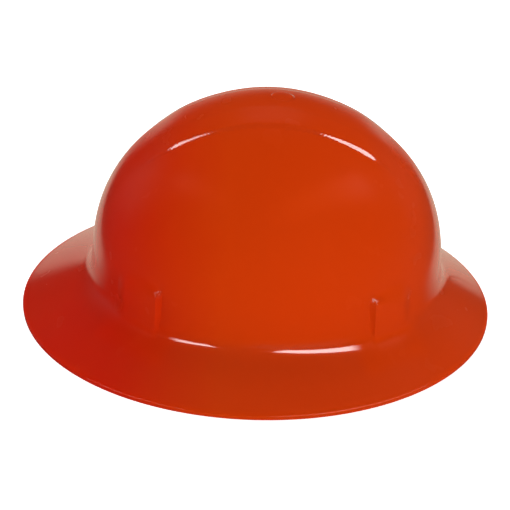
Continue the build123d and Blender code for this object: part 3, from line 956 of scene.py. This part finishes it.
    def with_pocket(
        self, points: np.ndarray, polish: np.ndarray, pocket: Pocket
    ) -> tuple[np.ndarray, np.ndarray]:
        """Pushes the skin out to a pocket's flat face.

        The push is what is missing to the face, times a window. The window's edge towards the middle of the
        hat is crisp, its outer edge is soft, and its top is crisp near the crisp edge and soft away from it.
        The face and its foot are dull. The crisp edge keeps a little polish, and its top all of it.

        Args:
            points: Places on the skin.
            polish: The skin's polish there.
            pocket: The pocket.

        Returns:
            The places with the pocket's bulge, and their polish.
        """
        offset = points - pocket.origin
        out, up = offset @ pocket.outward, offset @ pocket.up
        inner = -pocket.fore * np.sign(pocket.along[0]) * (offset @ pocket.along)
        half = self.pocket_half_widths[(pocket.fore + 1) // 2]
        crisp = smooth_step((half - inner) / self.pocket_crisp_edge + self.pocket_crisp_shift)
        soft = smooth_step((half + inner) / self.pocket_soft_edge + 0.5)
        away = smooth_step((half - inner) / self.pocket_top_run)
        top_edge = self.pocket_top_edges[0] * (1.0 - away) + self.pocket_top_edges[1] * away
        top = smooth_step((self.pocket_height - up) / top_edge + 0.5)
        missing = self.pocket_proud - out
        push = (missing + np.hypot(missing, self.pocket_foot_radius)) / 2.0
        near = (np.abs(inner) < self.pocket_area * half) & (out > -half)
        beside, outside = self.pocket_fade_shifts
        dull = smooth_step((half - inner) / self.pocket_fade + beside)
        dull *= smooth_step((half + inner) / self.pocket_soft_edge + 1.0)
        dull *= smooth_step((self.pocket_proud - out) / self.pocket_fade + outside) * near
        step = np.exp(-((inner - half + self.pocket_crisp_edge / 2.0) / self.pocket_crisp_edge) ** 2)
        top_end = np.exp(-((up - self.pocket_height) / self.glint_height) ** 2)
        glint = step * near * np.maximum(top_end, self.step_polish * top * (up > 0.0))
        pushed = points + pocket.outward * (push * crisp * soft * top * near)[..., None]
        return pushed, np.maximum(polish * (1.0 - dull), glint)

    def polished(self, below: np.ndarray, plain: np.ndarray, shaped: np.ndarray) -> np.ndarray:
        """Says where the outer skin keeps its gloss.

        That is where the relief tilts it, by the tilt's sine over a limit, from the crease down to just short
        of the lip, and at the dome's two ends, by a smooth step on the front or rear part of its direction.

        Args:
            below: How far below the crease each row lies.
            plain: The plain skin's outward directions.
            shaped: The finished skin's outward directions.

        Returns:
            The polish of each place, from 0 to 1.
        """
        tilt = np.linalg.norm(np.cross(plain, shaped), axis=-1)
        relief = smooth_step(tilt / self.polish_tilt)
        brim = smooth_step(below / self.polish_run + 1.0) * smooth_step((below[-1] - below) / self.lip_run)
        ends = self.end_polish * smooth_step((np.abs(plain[..., 0]) - self.polish_ends) / self.polish_fade)
        return np.maximum(np.maximum(relief, brim[:, None]), ends)

    def lip(self, angle: np.ndarray, outer: np.ndarray, inner: np.ndarray) -> np.ndarray:
        """Rounds the rim's edge from the outer skin to the inner one.

        Args:
            angle: The columns' angles.
            outer: The last ring of the outer skin.
            inner: The first ring of the inner skin.

        Returns:
            The rows between them.
        """
        rim = self.skin(np.array([self.lip_height]), angle)[0]
        along, across = np.cos(angle) * self.brim_width, np.sin(angle) * self.brim_length
        level = unit(np.stack([along, across, np.zeros_like(angle)], axis=-1))
        foot = rim * LEVEL
        inside = foot - level * self.wall
        up, outward = UP * self.lip_edge, level * self.lip_edge
        return np.concatenate([
            bent_corner(outer, rim, rim - up, self.lip_rows)[1:],
            bent_corner(foot + up, foot, foot - outward, self.lip_rows),
            bent_corner(inside + outward, inside, inside + up / 2.0, self.lip_rows),
            bent_corner(inside + up, inside + up * self.lip_blend, inner, self.lip_rows - 1)[:-1],
        ])

    def surface(self) -> Grid:
        """Lays the closed surface out: down the outer skin, round the lip and up the inner skin.

        Returns:
            The shell's grid, with its polish.
        """
        length, height = self.profile()
        total = length[-1]
        crease = np.interp(-self.crease_height, -height, length)
        dense_mark, start, fade = self.top_density
        dense_crease, reach = self.crease_density

        def spacing(run: np.ndarray) -> np.ndarray:
            """Returns 1 less a smooth step round the gate mark and a bell curve at the crease."""
            mark = dense_mark * (1.0 - smooth_step((run - start) / fade))
            return 1.0 - mark - dense_crease * np.exp(-((run - crease) / reach) ** 2)

        run = even_steps(total - self.lip_edge, spacing, self.outer_rows + 1)[1:]
        angle = self.angles()
        smooth = self.skin(np.interp(run, length, height), angle)
        plain_normals = self.normals(smooth)
        outer = smooth + plain_normals * self.crown_relief(smooth)[..., None]
        polish = self.polished(run - crease, plain_normals, self.normals(outer))
        for pocket in self.pockets():
            outer, polish = self.with_pocket(outer, polish, pocket)
        run = even_steps(total - self.wall, spacing, self.inner_rows + 1)[1:]
        plain = self.skin(np.interp(run, length, height), angle)
        inner = (plain - self.normals(plain) * self.wall)[::-1]
        points = np.concatenate([outer, self.lip(angle, outer[-1], inner[0]), inner])
        inside = np.full((len(points) - len(outer), len(angle)), self.inner_polish)
        return Grid(points, polish=np.concatenate([polish, inside]))

    def cut_sockets(self, piece: bpy.types.Object) -> None:
        """Opens the sockets in the wall, which the suspension's keys push into from below.

        Args:
            piece: The shell.
        """
        outer = self.pocket_proud - self.socket_wall
        depths = (outer - self.socket_depth, outer)
        half = self.socket_width / 2.0
        for number, pocket in enumerate(self.pockets()):
            ring = [(-half, depths[0]), (half, depths[0]), (half, depths[1]), (-half, depths[1])]
            levels = (-self.socket_height / 2.0, self.socket_height)
            points = np.array([[pocket.at(along, out, up) for along, out in ring] for up in levels])
            cutter = Grid(points).piece(f"socket_cutter_{number}")
            cut = piece.modifiers.new("socket", "BOOLEAN")
            cut.operation = "DIFFERENCE"
            cut.solver = "EXACT"
            cut.object = cutter
            bpy.context.view_layer.update()
            mesh = bpy.data.meshes.new_from_object(piece.evaluated_get(bpy.context.evaluated_depsgraph_get()))
            piece.modifiers.clear()
            piece.data = mesh
            bpy.data.objects.remove(cutter)
        piece.data.set_sharp_from_angle(angle=np.radians(self.socket_sharp_angle))

    def build(self) -> None:
        """Makes and dresses the shell."""
        piece = self.surface().piece("moulded_shell")
        self.cut_sockets(piece)
        dress(piece, Finish.SHELL)
        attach(piece, "helmet")
        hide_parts("shell")
        log.info("%s: %d faces", piece.name, len(piece.data.polygons))


# Suspension


@dataclass
class CrownStraps:
    """The two crossed webbing straps, whose folded ends pass round the bars of the suspension's keys.

    Attributes:
        shell: The shell, whose pockets the ends hang in.
        pocket_inset: How much less its pockets stand out than the ones that the keys were made for.
        tail_gap: Between a strap and its sewn tail.
    """

    shell: Shell
    width: float = 19.0
    thickness: float = 1.6
    edge: float = 0.7
    clearance: float = 0.3
    pocket_inset: float = 0.1
    tail_gap: float = 0.2
    fold_radius: float = 1.0
    tail: float = 14.0
    loop_top: float = 7.0
    key_foot: float = 24.0
    foot_height: float = 6.0
    window_height: float = 3.2
    bar_height: float = 4.0
    shoulder_height: float = 54.0
    shoulder_reach: float = 96.0
    top_height: float = 98.0
    top_reach: float = 52.0
    bend_radius: float = 86.0
    loop_radius: float = 14.0
    corner_points: int = 4
    step: float = 2.0

    def end_points(self, pocket: Pocket) -> list[np.ndarray]:
        """Places the corners of a folded end.

        Args:
            pocket: The pocket that it hangs in.

        Returns:
            The corners, from the sewn tail round the bar and up to the arch.
        """
        outer = self.shell.pocket_proud + self.pocket_inset - self.shell.socket_wall
        inner = outer - self.shell.socket_depth
        under = -self.key_foot + self.foot_height + self.window_height / 2.0
        through = under + self.window_height + self.bar_height
        main = inner - self.clearance - 2.0 * self.thickness
        tail = main + self.thickness + self.tail_gap
        behind = outer + self.thickness / 2.0 + self.clearance
        places = (
            (tail, through + self.tail),
            (tail, through),
            (behind, through),
            (behind, under),
            (main, under),
            (main, self.loop_top),
        )
        return [pocket.upright_at(out, up) for out, up in places]

    def route(self, first: Pocket, second: Pocket, drop: float) -> tuple[np.ndarray, np.ndarray]:
        """Lays out one strap from pocket to pocket.

        The arch lies in the upright plane through both pockets. The width turns from the wall's direction
        at a pocket to square across that plane, by the share of the way between the two.

        Args:
            first: The pocket at one end.
            second: The pocket at the other.
            drop: How far the top lies below the other strap's.

        Returns:
            Places along the strap, and the width's direction at each.
        """
        start, stop = self.end_points(first), self.end_points(second)[::-1]
        centre = np.array([self.shell.dome_offset, 0.0, self.shell.crease_height])
        heading = unit((first.origin - centre) * LEVEL)
        arch = [
            centre + side * reach * heading + height * UP
            for side, reach, height in (
                (1, self.shoulder_reach, self.shoulder_height),
                (1, self.top_reach, self.top_height - drop),
                (-1, self.top_reach, self.top_height - drop),
                (-1, self.shoulder_reach, self.shoulder_height),
            )
        ]
        end = [self.fold_radius] * 4 + [self.loop_radius]
        radii = end + [self.bend_radius] * 4 + end[::-1]
        places = rounded_route([*start, *arch, *stop], radii, self.step)
        across = np.array([-heading[1], heading[0], 0.0])
        wide = [pocket.along * np.sign(pocket.along @ across) for pocket in (first, second)]
        height = places[:, 2] - self.shell.crease_height
        near = 1.0 - smooth_step((height - self.loop_top) / (self.shoulder_height / 2.0 - self.loop_top))
        at_first = ((places - centre) @ heading > 0.0)[:, None]
        turned = np.where(at_first, wide[0], wide[1]) * near[:, None] + across * (1.0 - near)[:, None]
        return places, turned

    def build(self) -> None:
        """Makes and dresses both straps."""
        section = oblong_section(self.width, self.thickness, self.edge, self.corner_points)
        pockets = {(pocket.fore, pocket.side): pocket for pocket in self.shell.pockets()}
        runs = (
            ("crown_strap_lower", (-1, 1), (1, -1), self.thickness + self.clearance),
            ("crown_strap_upper", (-1, -1), (1, 1), 0.0),
        )
        for node, first, second, drop in runs:
            places, wide = self.route(pockets[first], pockets[second], drop)
            piece = swept_grid(places, wide, section).piece(node.replace("crown_strap", "webbing"))
            dress(piece, Finish.WEBBING)
            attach(piece, "helmet")
            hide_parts(node)
            log.info("%s: %d faces", piece.name, len(piece.data.polygons))


@dataclass
class CurvedPad:
    """A foam pad in a knitted cover, bent about an upright line and sewn through in channels.

    Attributes:
        node: The solid that it stands for.
        name: The piece's name.
        finish: Its finish.
        centre: Where the upright line passes, along X.
        length: Half length of the ellipse that its outer face follows.
        width: Half width of that ellipse.
        thickness: Through the foam.
        low: Height of its lower edge.
        high: Height of its upper edge.
        span: First and last angle from the rear, in degrees.
        channels: Angles of the sewn channels.
        powers: Of the cosine and the sine in the section, which make it squarer than an ellipse.
        end_shares: What is left of its thickness and of its height at the very ends.
    """

    node: str
    name: str
    finish: Finish
    centre: float
    length: float
    width: float
    thickness: float
    low: float
    high: float
    span: tuple[float, float]
    channels: Sequence[float]
    channel_width: float = 2.2
    channel_depth: float = 0.55
    powers: Powers = (0.7, 0.45)
    end_shares: tuple[float, float] = (0.02, 0.3)
    end_length: float = 7.0
    along_count: int = 260
    around_count: int = 56

    def surface(self) -> Grid:
        """Lays out the pad's closed surface.

        A section is a flat loop whose thickness swells by the power of the cosine and whose height by that of
        the sine. It shrinks as a quarter circle at the ends, and by a bell curve at each channel.

        Returns:
            The pad's grid, with the lengths along and around it.
        """
        first, last = np.radians(self.span)
        angle = np.linspace(first, last, self.along_count)
        mean = (self.length + self.width) / 2.0
        from_end = np.minimum(angle - first, last - angle) * mean
        end = np.sqrt(np.clip(1.0 - np.clip(1.0 - from_end / self.end_length, 0.0, 1.0) ** 2, 0.0, 1.0))
        sewn = sum(
            np.exp(-((angle - np.radians(place)) * mean / self.channel_width) ** 2) for place in self.channels
        )
        turn = np.linspace(0.0, 2.0 * np.pi, self.around_count + 1)[:-1]
        through, rise = (
            np.sign(wave) * np.abs(wave) ** power
            for wave, power in zip((np.cos(turn), np.sin(turn)), self.powers)
        )
        thin, low = (share + (1.0 - share) * end[:, None] for share in self.end_shares)
        # Only the side towards the head swells and is drawn in
        towards_head = through < 0.0
        swell = 1.0 - self.channel_depth * sewn[:, None] * towards_head
        middle = self.thickness / 2.0
        depth = middle * thin * through * swell
        half = (self.high - self.low) / 2.0
        z = (self.low + self.high) / 2.0 + half * rise * low
        grow = depth - middle
        x = self.centre + (self.length + grow) * np.cos(angle)[:, None]
        y = (self.width + grow) * np.sin(angle)[:, None]
        section = np.stack([middle * through, half * rise], axis=-1)
        around = running_length(np.concatenate([section, section[:1]]))
        return Grid(np.stack([x, y, z], axis=-1), lengths=((angle - first) * mean, around))

    def build(self, body: str) -> None:
        """Makes and dresses the pad.

        Args:
            body: The body that it rides on.
        """
        piece = self.surface().piece(self.name)
        dress(piece, self.finish)
        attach(piece, body)
        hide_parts(self.node)
        log.info("%s: %d faces", piece.name, len(piece.data.polygons))


@dataclass
class NapeArms:
    """The two springy arms from the headband's pivots to the ratchet, which bend as the band is drawn in.

    Attributes:
        centre: Where the nape's upright line passes, along X.
        radius: From that line to the middle of an arm.
        tip: How far inside the rounded end the first ring lies, and the least height of a ring.
    """

    centre: float
    radius: float
    thickness: float = 1.8
    pivot_reach: float = -10.0
    axle_height: float = 22.0
    pivot_height: float = 18.0
    end_height: float = 24.0
    housing_half_angle: float = 40.5
    taper_shares: tuple[float, float] = (0.0, 0.55)
    edge: float = 0.5
    tip: float = 0.2
    corner_points: int = 3
    step: float = 1.2
    sharp_angle: float = 50.0

    def surface(self, side: int) -> Grid:
        """Carries a flat section from the rounded end at the pivot, straight back and round the nape.

        The section's height is a half circle at the pivot and then grows in a straight line.

        Args:
            side: 1 on the far side and -1 on the near side.

        Returns:
            The arm's closed surface.
        """
        start = self.pivot_reach - self.pivot_height / 2.0
        straight = np.arange(start + self.tip, self.centre, self.step)
        turn = np.radians(90.0 - self.housing_half_angle)
        bend = np.linspace(0.0, turn, int(self.radius * turn / self.step))
        x = np.concatenate([straight, self.centre + self.radius * np.sin(bend)])
        y = np.concatenate([np.full(len(straight), self.radius), self.radius * np.cos(bend)])
        reach = self.radius * np.cos(np.radians(self.housing_half_angle))
        taper = [self.centre + share * reach for share in self.taper_shares]
        height = np.interp(x, taper, [self.pivot_height, self.end_height])
        half = self.pivot_height / 2.0
        round_end = 2.0 * np.sqrt(np.clip(half ** 2 - (self.pivot_reach - x) ** 2, 0.0, None))
        height = np.where(x < self.pivot_reach, round_end, height)
        route = np.stack([x, side * y, np.full(len(x), self.axle_height)], axis=-1)
        section = oblong_section(1.0, self.thickness, 0.0, self.corner_points)
        edges = oblong_section(0.0, 0.0, self.edge, self.corner_points)
        out = np.cross(UP, unit(np.gradient(route, axis=0)))
        inset = np.maximum(height - 2.0 * self.edge, self.tip)
        across = section[None, :, 0] * inset[:, None] + edges[None, :, 0]
        through = section[None, :, 1] * (1.0 - 2.0 * self.edge / self.thickness) + edges[None, :, 1]
        return Grid(route[:, None] + across[..., None] * UP + through[..., None] * out[:, None])

    def build(self) -> None:
        """Makes and dresses both arms, and bakes each one's placement into its mesh."""
        for side, node in ((1, "nape_arm_right"), (-1, "nape_arm_left")):
            piece = self.surface(side).piece(node.replace("nape_arm", "springy_arm"))
            piece.data.set_sharp_from_angle(angle=np.radians(self.sharp_angle))
            dress(piece, Finish.NYLON)
            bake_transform(piece)
            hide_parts(node)
            log.info("%s: %d faces", piece.name, len(piece.data.polygons))


def dress_solids() -> None:
    """Gives every solid of the frame that stays in view the finish of its slot."""
    finishes = {finish.slot: finish for finish in Finish}
    for part in frame["record"]["subparts"]:
        node = frame["nodes"][part["node"]]
        if not node.hide_render:
            dress(node, finishes[part["material_slot"]])
            log.info("%s: %s", node.name, part["material_slot"])


# Studio


@dataclass(frozen=True)
class SoftLamp:
    """A wide soft lamp that points at the hat.

    Attributes:
        name: The lamp's name.
        azimuth: Its direction from the hat, in degrees round from -Y towards +X.
        elevation: Its height above level, in degrees.
        size: Its width and height in metres.
        power: In watts.
        mirrored: Whether reflections show it. If they do, it lights no matt surface.
        distance: From the hat, in metres.
    """

    name: str
    azimuth: float
    elevation: float
    size: tuple[float, float]
    power: float
    mirrored: bool = False
    distance: float = 2.0

    def build(self, aim: Vector) -> None:
        """Adds the lamp.

        Args:
            aim: Where it points, in metres.
        """
        offset = Vector(direction(self.azimuth, self.elevation)) * self.distance
        data = bpy.data.lights.new(self.name, "AREA")
        data.shape = "RECTANGLE"
        data.size, data.size_y = self.size
        data.energy = self.power
        lamp = bpy.data.objects.new(self.name, data)
        lamp.visible_glossy = self.mirrored
        lamp.visible_diffuse = not self.mirrored
        lamp.location = aim + offset
        lamp.rotation_euler = (-offset).to_track_quat("-Z", "Y").to_euler()
        bpy.context.scene.collection.objects.link(lamp)


@dataclass
class Studio:
    """The white floor and surround, the lamps and the camera.

    Attributes:
        shell: The shell, whose rim the floor starts from.
        floor_rings: How many times the rim's own size each ring of the floor has.
        backdrop_top: Upward parts of a direction, where the backdrop's reflection ends and where it is full.
        backdrop_start: Rearward parts of a direction, where it starts and where it is full.
        backdrop_foot: Where the floor's part of it starts and where it is full, in metres along Y.
        backdrop_sides: Half widths where that part ends and where it is full, in metres.
        backdrop_spread: How much wider it gets for each metre back.
        backdrop_level: How bright reflections show the backdrop.
        room_glow: How bright they show everything else.
        focus: What the camera's place is measured from, in millimetres.
        focus_pixel: Where the picture shows that place.
        focal_pixels: The focal length in pixels.
    """

    shell: Shell
    floor_rings: Sequence[float] = (1.0, 1.5, 4.0, 20.0)
    floor_columns: int = 180
    floor_colour: str = "#F4F4F4"
    floor_glow: float = 0.72
    surround_strength: float = 0.32
    backdrop_colour: str = "#FFEBD2"
    backdrop_top: tuple[float, float] = (0.3, 0.1)
    backdrop_start: tuple[float, float] = (0.8, 0.85)
    backdrop_foot: tuple[float, float] = (-0.03, 0.03)
    backdrop_sides: tuple[float, float] = (0.245, 0.205)
    backdrop_spread: float = 0.5
    backdrop_level: float = 0.68
    room_glow: float = 0.03
    focus: tuple[float, float, float] = (7.4, 0.0, 86.5)
    azimuth: float = 0.187
    elevation: float = 28.438
    distance: float = 750.0
    focus_pixel: tuple[float, float] = (268.73, 195.0)
    focal_pixels: float = 1041.0
    roll: float = 2.07
    lamps: Sequence[SoftLamp] = (
        SoftLamp("front_lamp", 18.0, 14.0, (1.6, 1.0), 24.5),
        SoftLamp("right_lamp", 115.0, 15.0, (1.2, 1.0), 7.0),
        SoftLamp("left_lamp", -105.0, 15.0, (1.2, 1.0), 13.0),
        SoftLamp("top_lamp", 180.0, 62.0, (1.0, 0.8), 17.0),
        SoftLamp("low_lamp", 0.0, -75.0, (1.6, 1.6), 34.0),
        SoftLamp("right_strip", 48.0, 44.0, (2.3, 0.45), 36.0, mirrored=True),
        SoftLamp("left_strip", -54.0, 42.0, (1.5, 0.27), 13.0, mirrored=True),
    )

    def camera(self) -> None:
        """Adds the camera.

        Its place is given by its direction from the focus. It is turned so that the focus falls on its pixel
        while the middle of the picture stays on the lens's own axis.
        """
        azimuth, roll = np.radians([self.azimuth, self.roll])
        back = direction(self.azimuth, self.elevation)
        level = np.array([np.cos(azimuth), np.sin(azimuth), 0.0])
        lift = np.cross(back, level)
        right = np.cos(roll) * level + np.sin(roll) * lift
        up = np.cos(roll) * lift - np.sin(roll) * level
        middle = PICTURE_SIZE / 2.0
        ahead = unit(
            (middle - self.focus_pixel[0]) / self.focal_pixels * right
            - (middle - self.focus_pixel[1]) / self.focal_pixels * up
            - back
        )
        right = unit(right - ahead * (right @ ahead))
        turned = np.eye(4)
        turned[:3, :3] = np.stack([right, np.cross(right, ahead), -ahead], axis=1)
        turned[:3, 3] = (np.array(self.focus) + back * self.distance) * MM
        data = bpy.data.cameras.new("camera")
        data.sensor_width = SENSOR_WIDTH
        data.lens = self.focal_pixels / PICTURE_SIZE * data.sensor_width
        camera = bpy.data.objects.new("camera", data)
        camera.matrix_world = Matrix(turned.tolist())
        bpy.context.scene.collection.objects.link(camera)
        bpy.context.scene.camera = camera

    def by_ray(
        self, add: Adder, kind: str, backdrop: bpy.types.Node, plain: bpy.types.Node, white: bpy.types.Node
    ) -> bpy.types.Node:
        """Gives each sort of ray what it has to meet.

        Args:
            add: Adds one node.
            kind: The node's type that reflections meet.
            backdrop: Where that is the backdrop, from 0 to 1. Elsewhere it is the dim room.
            plain: What lights the hat.
            white: What the camera sees, and a ray through a clear piece.

        Returns:
            The node that mixes them.
        """
        level = add("MapRange", {"Value": backdrop, "To Min": self.room_glow, "To Max": self.backdrop_level})
        shown = add(kind, {"Color": linear(self.backdrop_colour), "Strength": level})
        ray = add("LightPath")
        seen = add("Math", {
            0: ray.outputs["Is Camera Ray"], 1: ray.outputs["Is Transmission Ray"],
        }, operation="MAXIMUM")
        lit = add("MixShader", {0: ray.outputs["Is Glossy Ray"], 1: plain, 2: shown})
        return add("MixShader", {0: seen, 1: lit, 2: white})

    def floor(self) -> None:
        """Adds the floor, which the camera sees as white and which keeps the shadow.

        It runs from under the rim outwards, as rings that grow from the rim's own ellipse. It is open under
        the hat and clear from below, so that the underside can be looked at.
        """
        angle = np.linspace(0.0, 2.0 * np.pi, self.floor_columns + 1)[:-1]
        reach = np.array(self.floor_rings)[:, None]
        x = (self.shell.brim_length - self.shell.wall) / 2.0 * np.cos(angle) * reach
        y = (self.shell.brim_width - self.shell.wall) / 2.0 * np.sin(angle) * reach
        floor = Grid(np.stack([x, y, np.zeros_like(x)], axis=-1), Ends.OPEN).piece("floor")
        material = bpy.data.materials.new("white_floor")
        add = fresh_nodes(material)
        matt = add("BsdfDiffuse", {"Color": linear(self.floor_colour)})
        glow = add("Emission", {"Color": linear(WHITE), "Strength": self.floor_glow})
        split = add("SeparateXYZ", {"Vector": add("TexCoord").outputs["Object"]})
        aside = add("Math", {0: split.outputs["X"]}, operation="ABSOLUTE")
        # The part that reflections show as white widens towards the back
        past = add("Math", {
            0: split.outputs["Y"], 1: -self.backdrop_spread, 2: aside,
        }, operation="MULTIPLY_ADD")
        limits = ((split.outputs["Y"], self.backdrop_foot), (past, self.backdrop_sides))
        behind, inside = (
            add("MapRange", {"Value": value, "From Min": start, "From Max": full})
            for value, (start, full) in limits
        )
        backdrop = add("Math", {0: behind, 1: inside}, operation="MULTIPLY")
        above = self.by_ray(add, "Emission", backdrop, matt, add("AddShader", {0: matt, 1: glow}))
        below = add("NewGeometry").outputs["Backfacing"]
        mixed = add("MixShader", {0: below, 1: above, 2: add("BsdfTransparent")})
        add("OutputMaterial", {"Surface": mixed})
        floor.data.materials.append(material)

    def surround(self) -> None:
        """Lights the scene evenly, and shows white to the camera and to reflections low behind the hat."""
        world = bpy.data.worlds.new("surround")
        add = fresh_nodes(world)
        plain, white = (
            add("Background", {"Color": linear(WHITE), "Strength": strength})
            for strength in (self.surround_strength, 1.0)
        )
        split = add("SeparateXYZ", {"Vector": add("TexCoord").outputs["Generated"]})
        low, behind = (
            add("MapRange", {"Value": split.outputs[axis], "From Min": start, "From Max": full})
            for axis, (start, full) in (("Z", self.backdrop_top), ("Y", self.backdrop_start))
        )
        backdrop = add("Math", {0: low, 1: behind}, operation="MULTIPLY")
        add("OutputWorld", {"Surface": self.by_ray(add, "Background", backdrop, plain, white)})
        bpy.context.scene.world = world

    def build(self) -> None:
        """Sets the studio up."""
        bpy.context.scene.view_settings.view_transform = "Standard"
        self.camera()
        self.floor()
        self.surround()
        for lamp in self.lamps:
            lamp.build(Vector(self.focus) * MM)


def main() -> None:
    """Builds the hat and the studio."""
    shell = Shell()
    Studio(shell).build()
    shell.build()
    CrownStraps(shell).build()
    CurvedPad(
        "brow_pad", "knitted_brow_pad", Finish.BROW_KNIT, centre=-10.0, length=88.7, width=79.3,
        thickness=4.5, low=4.0, high=32.0, span=(112.0, 248.0),
        channels=(130.0, 146.0, 163.0, 180.0, 197.0, 214.0, 230.0),
    ).build("helmet")
    CurvedPad(
        "nape_pad", "knitted_nape_pad", Finish.NAPE_KNIT, centre=NAPE_LINE, length=69.7, width=69.7,
        thickness=3.6, low=8.0, high=36.0, span=(-35.6, 35.6), channels=(-18.0, 0.0, 18.0),
    ).build("ratchet")
    NapeArms(centre=NAPE_LINE, radius=77.4).build()
    dress_solids()
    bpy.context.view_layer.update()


if __name__ == "__main__":
    main()
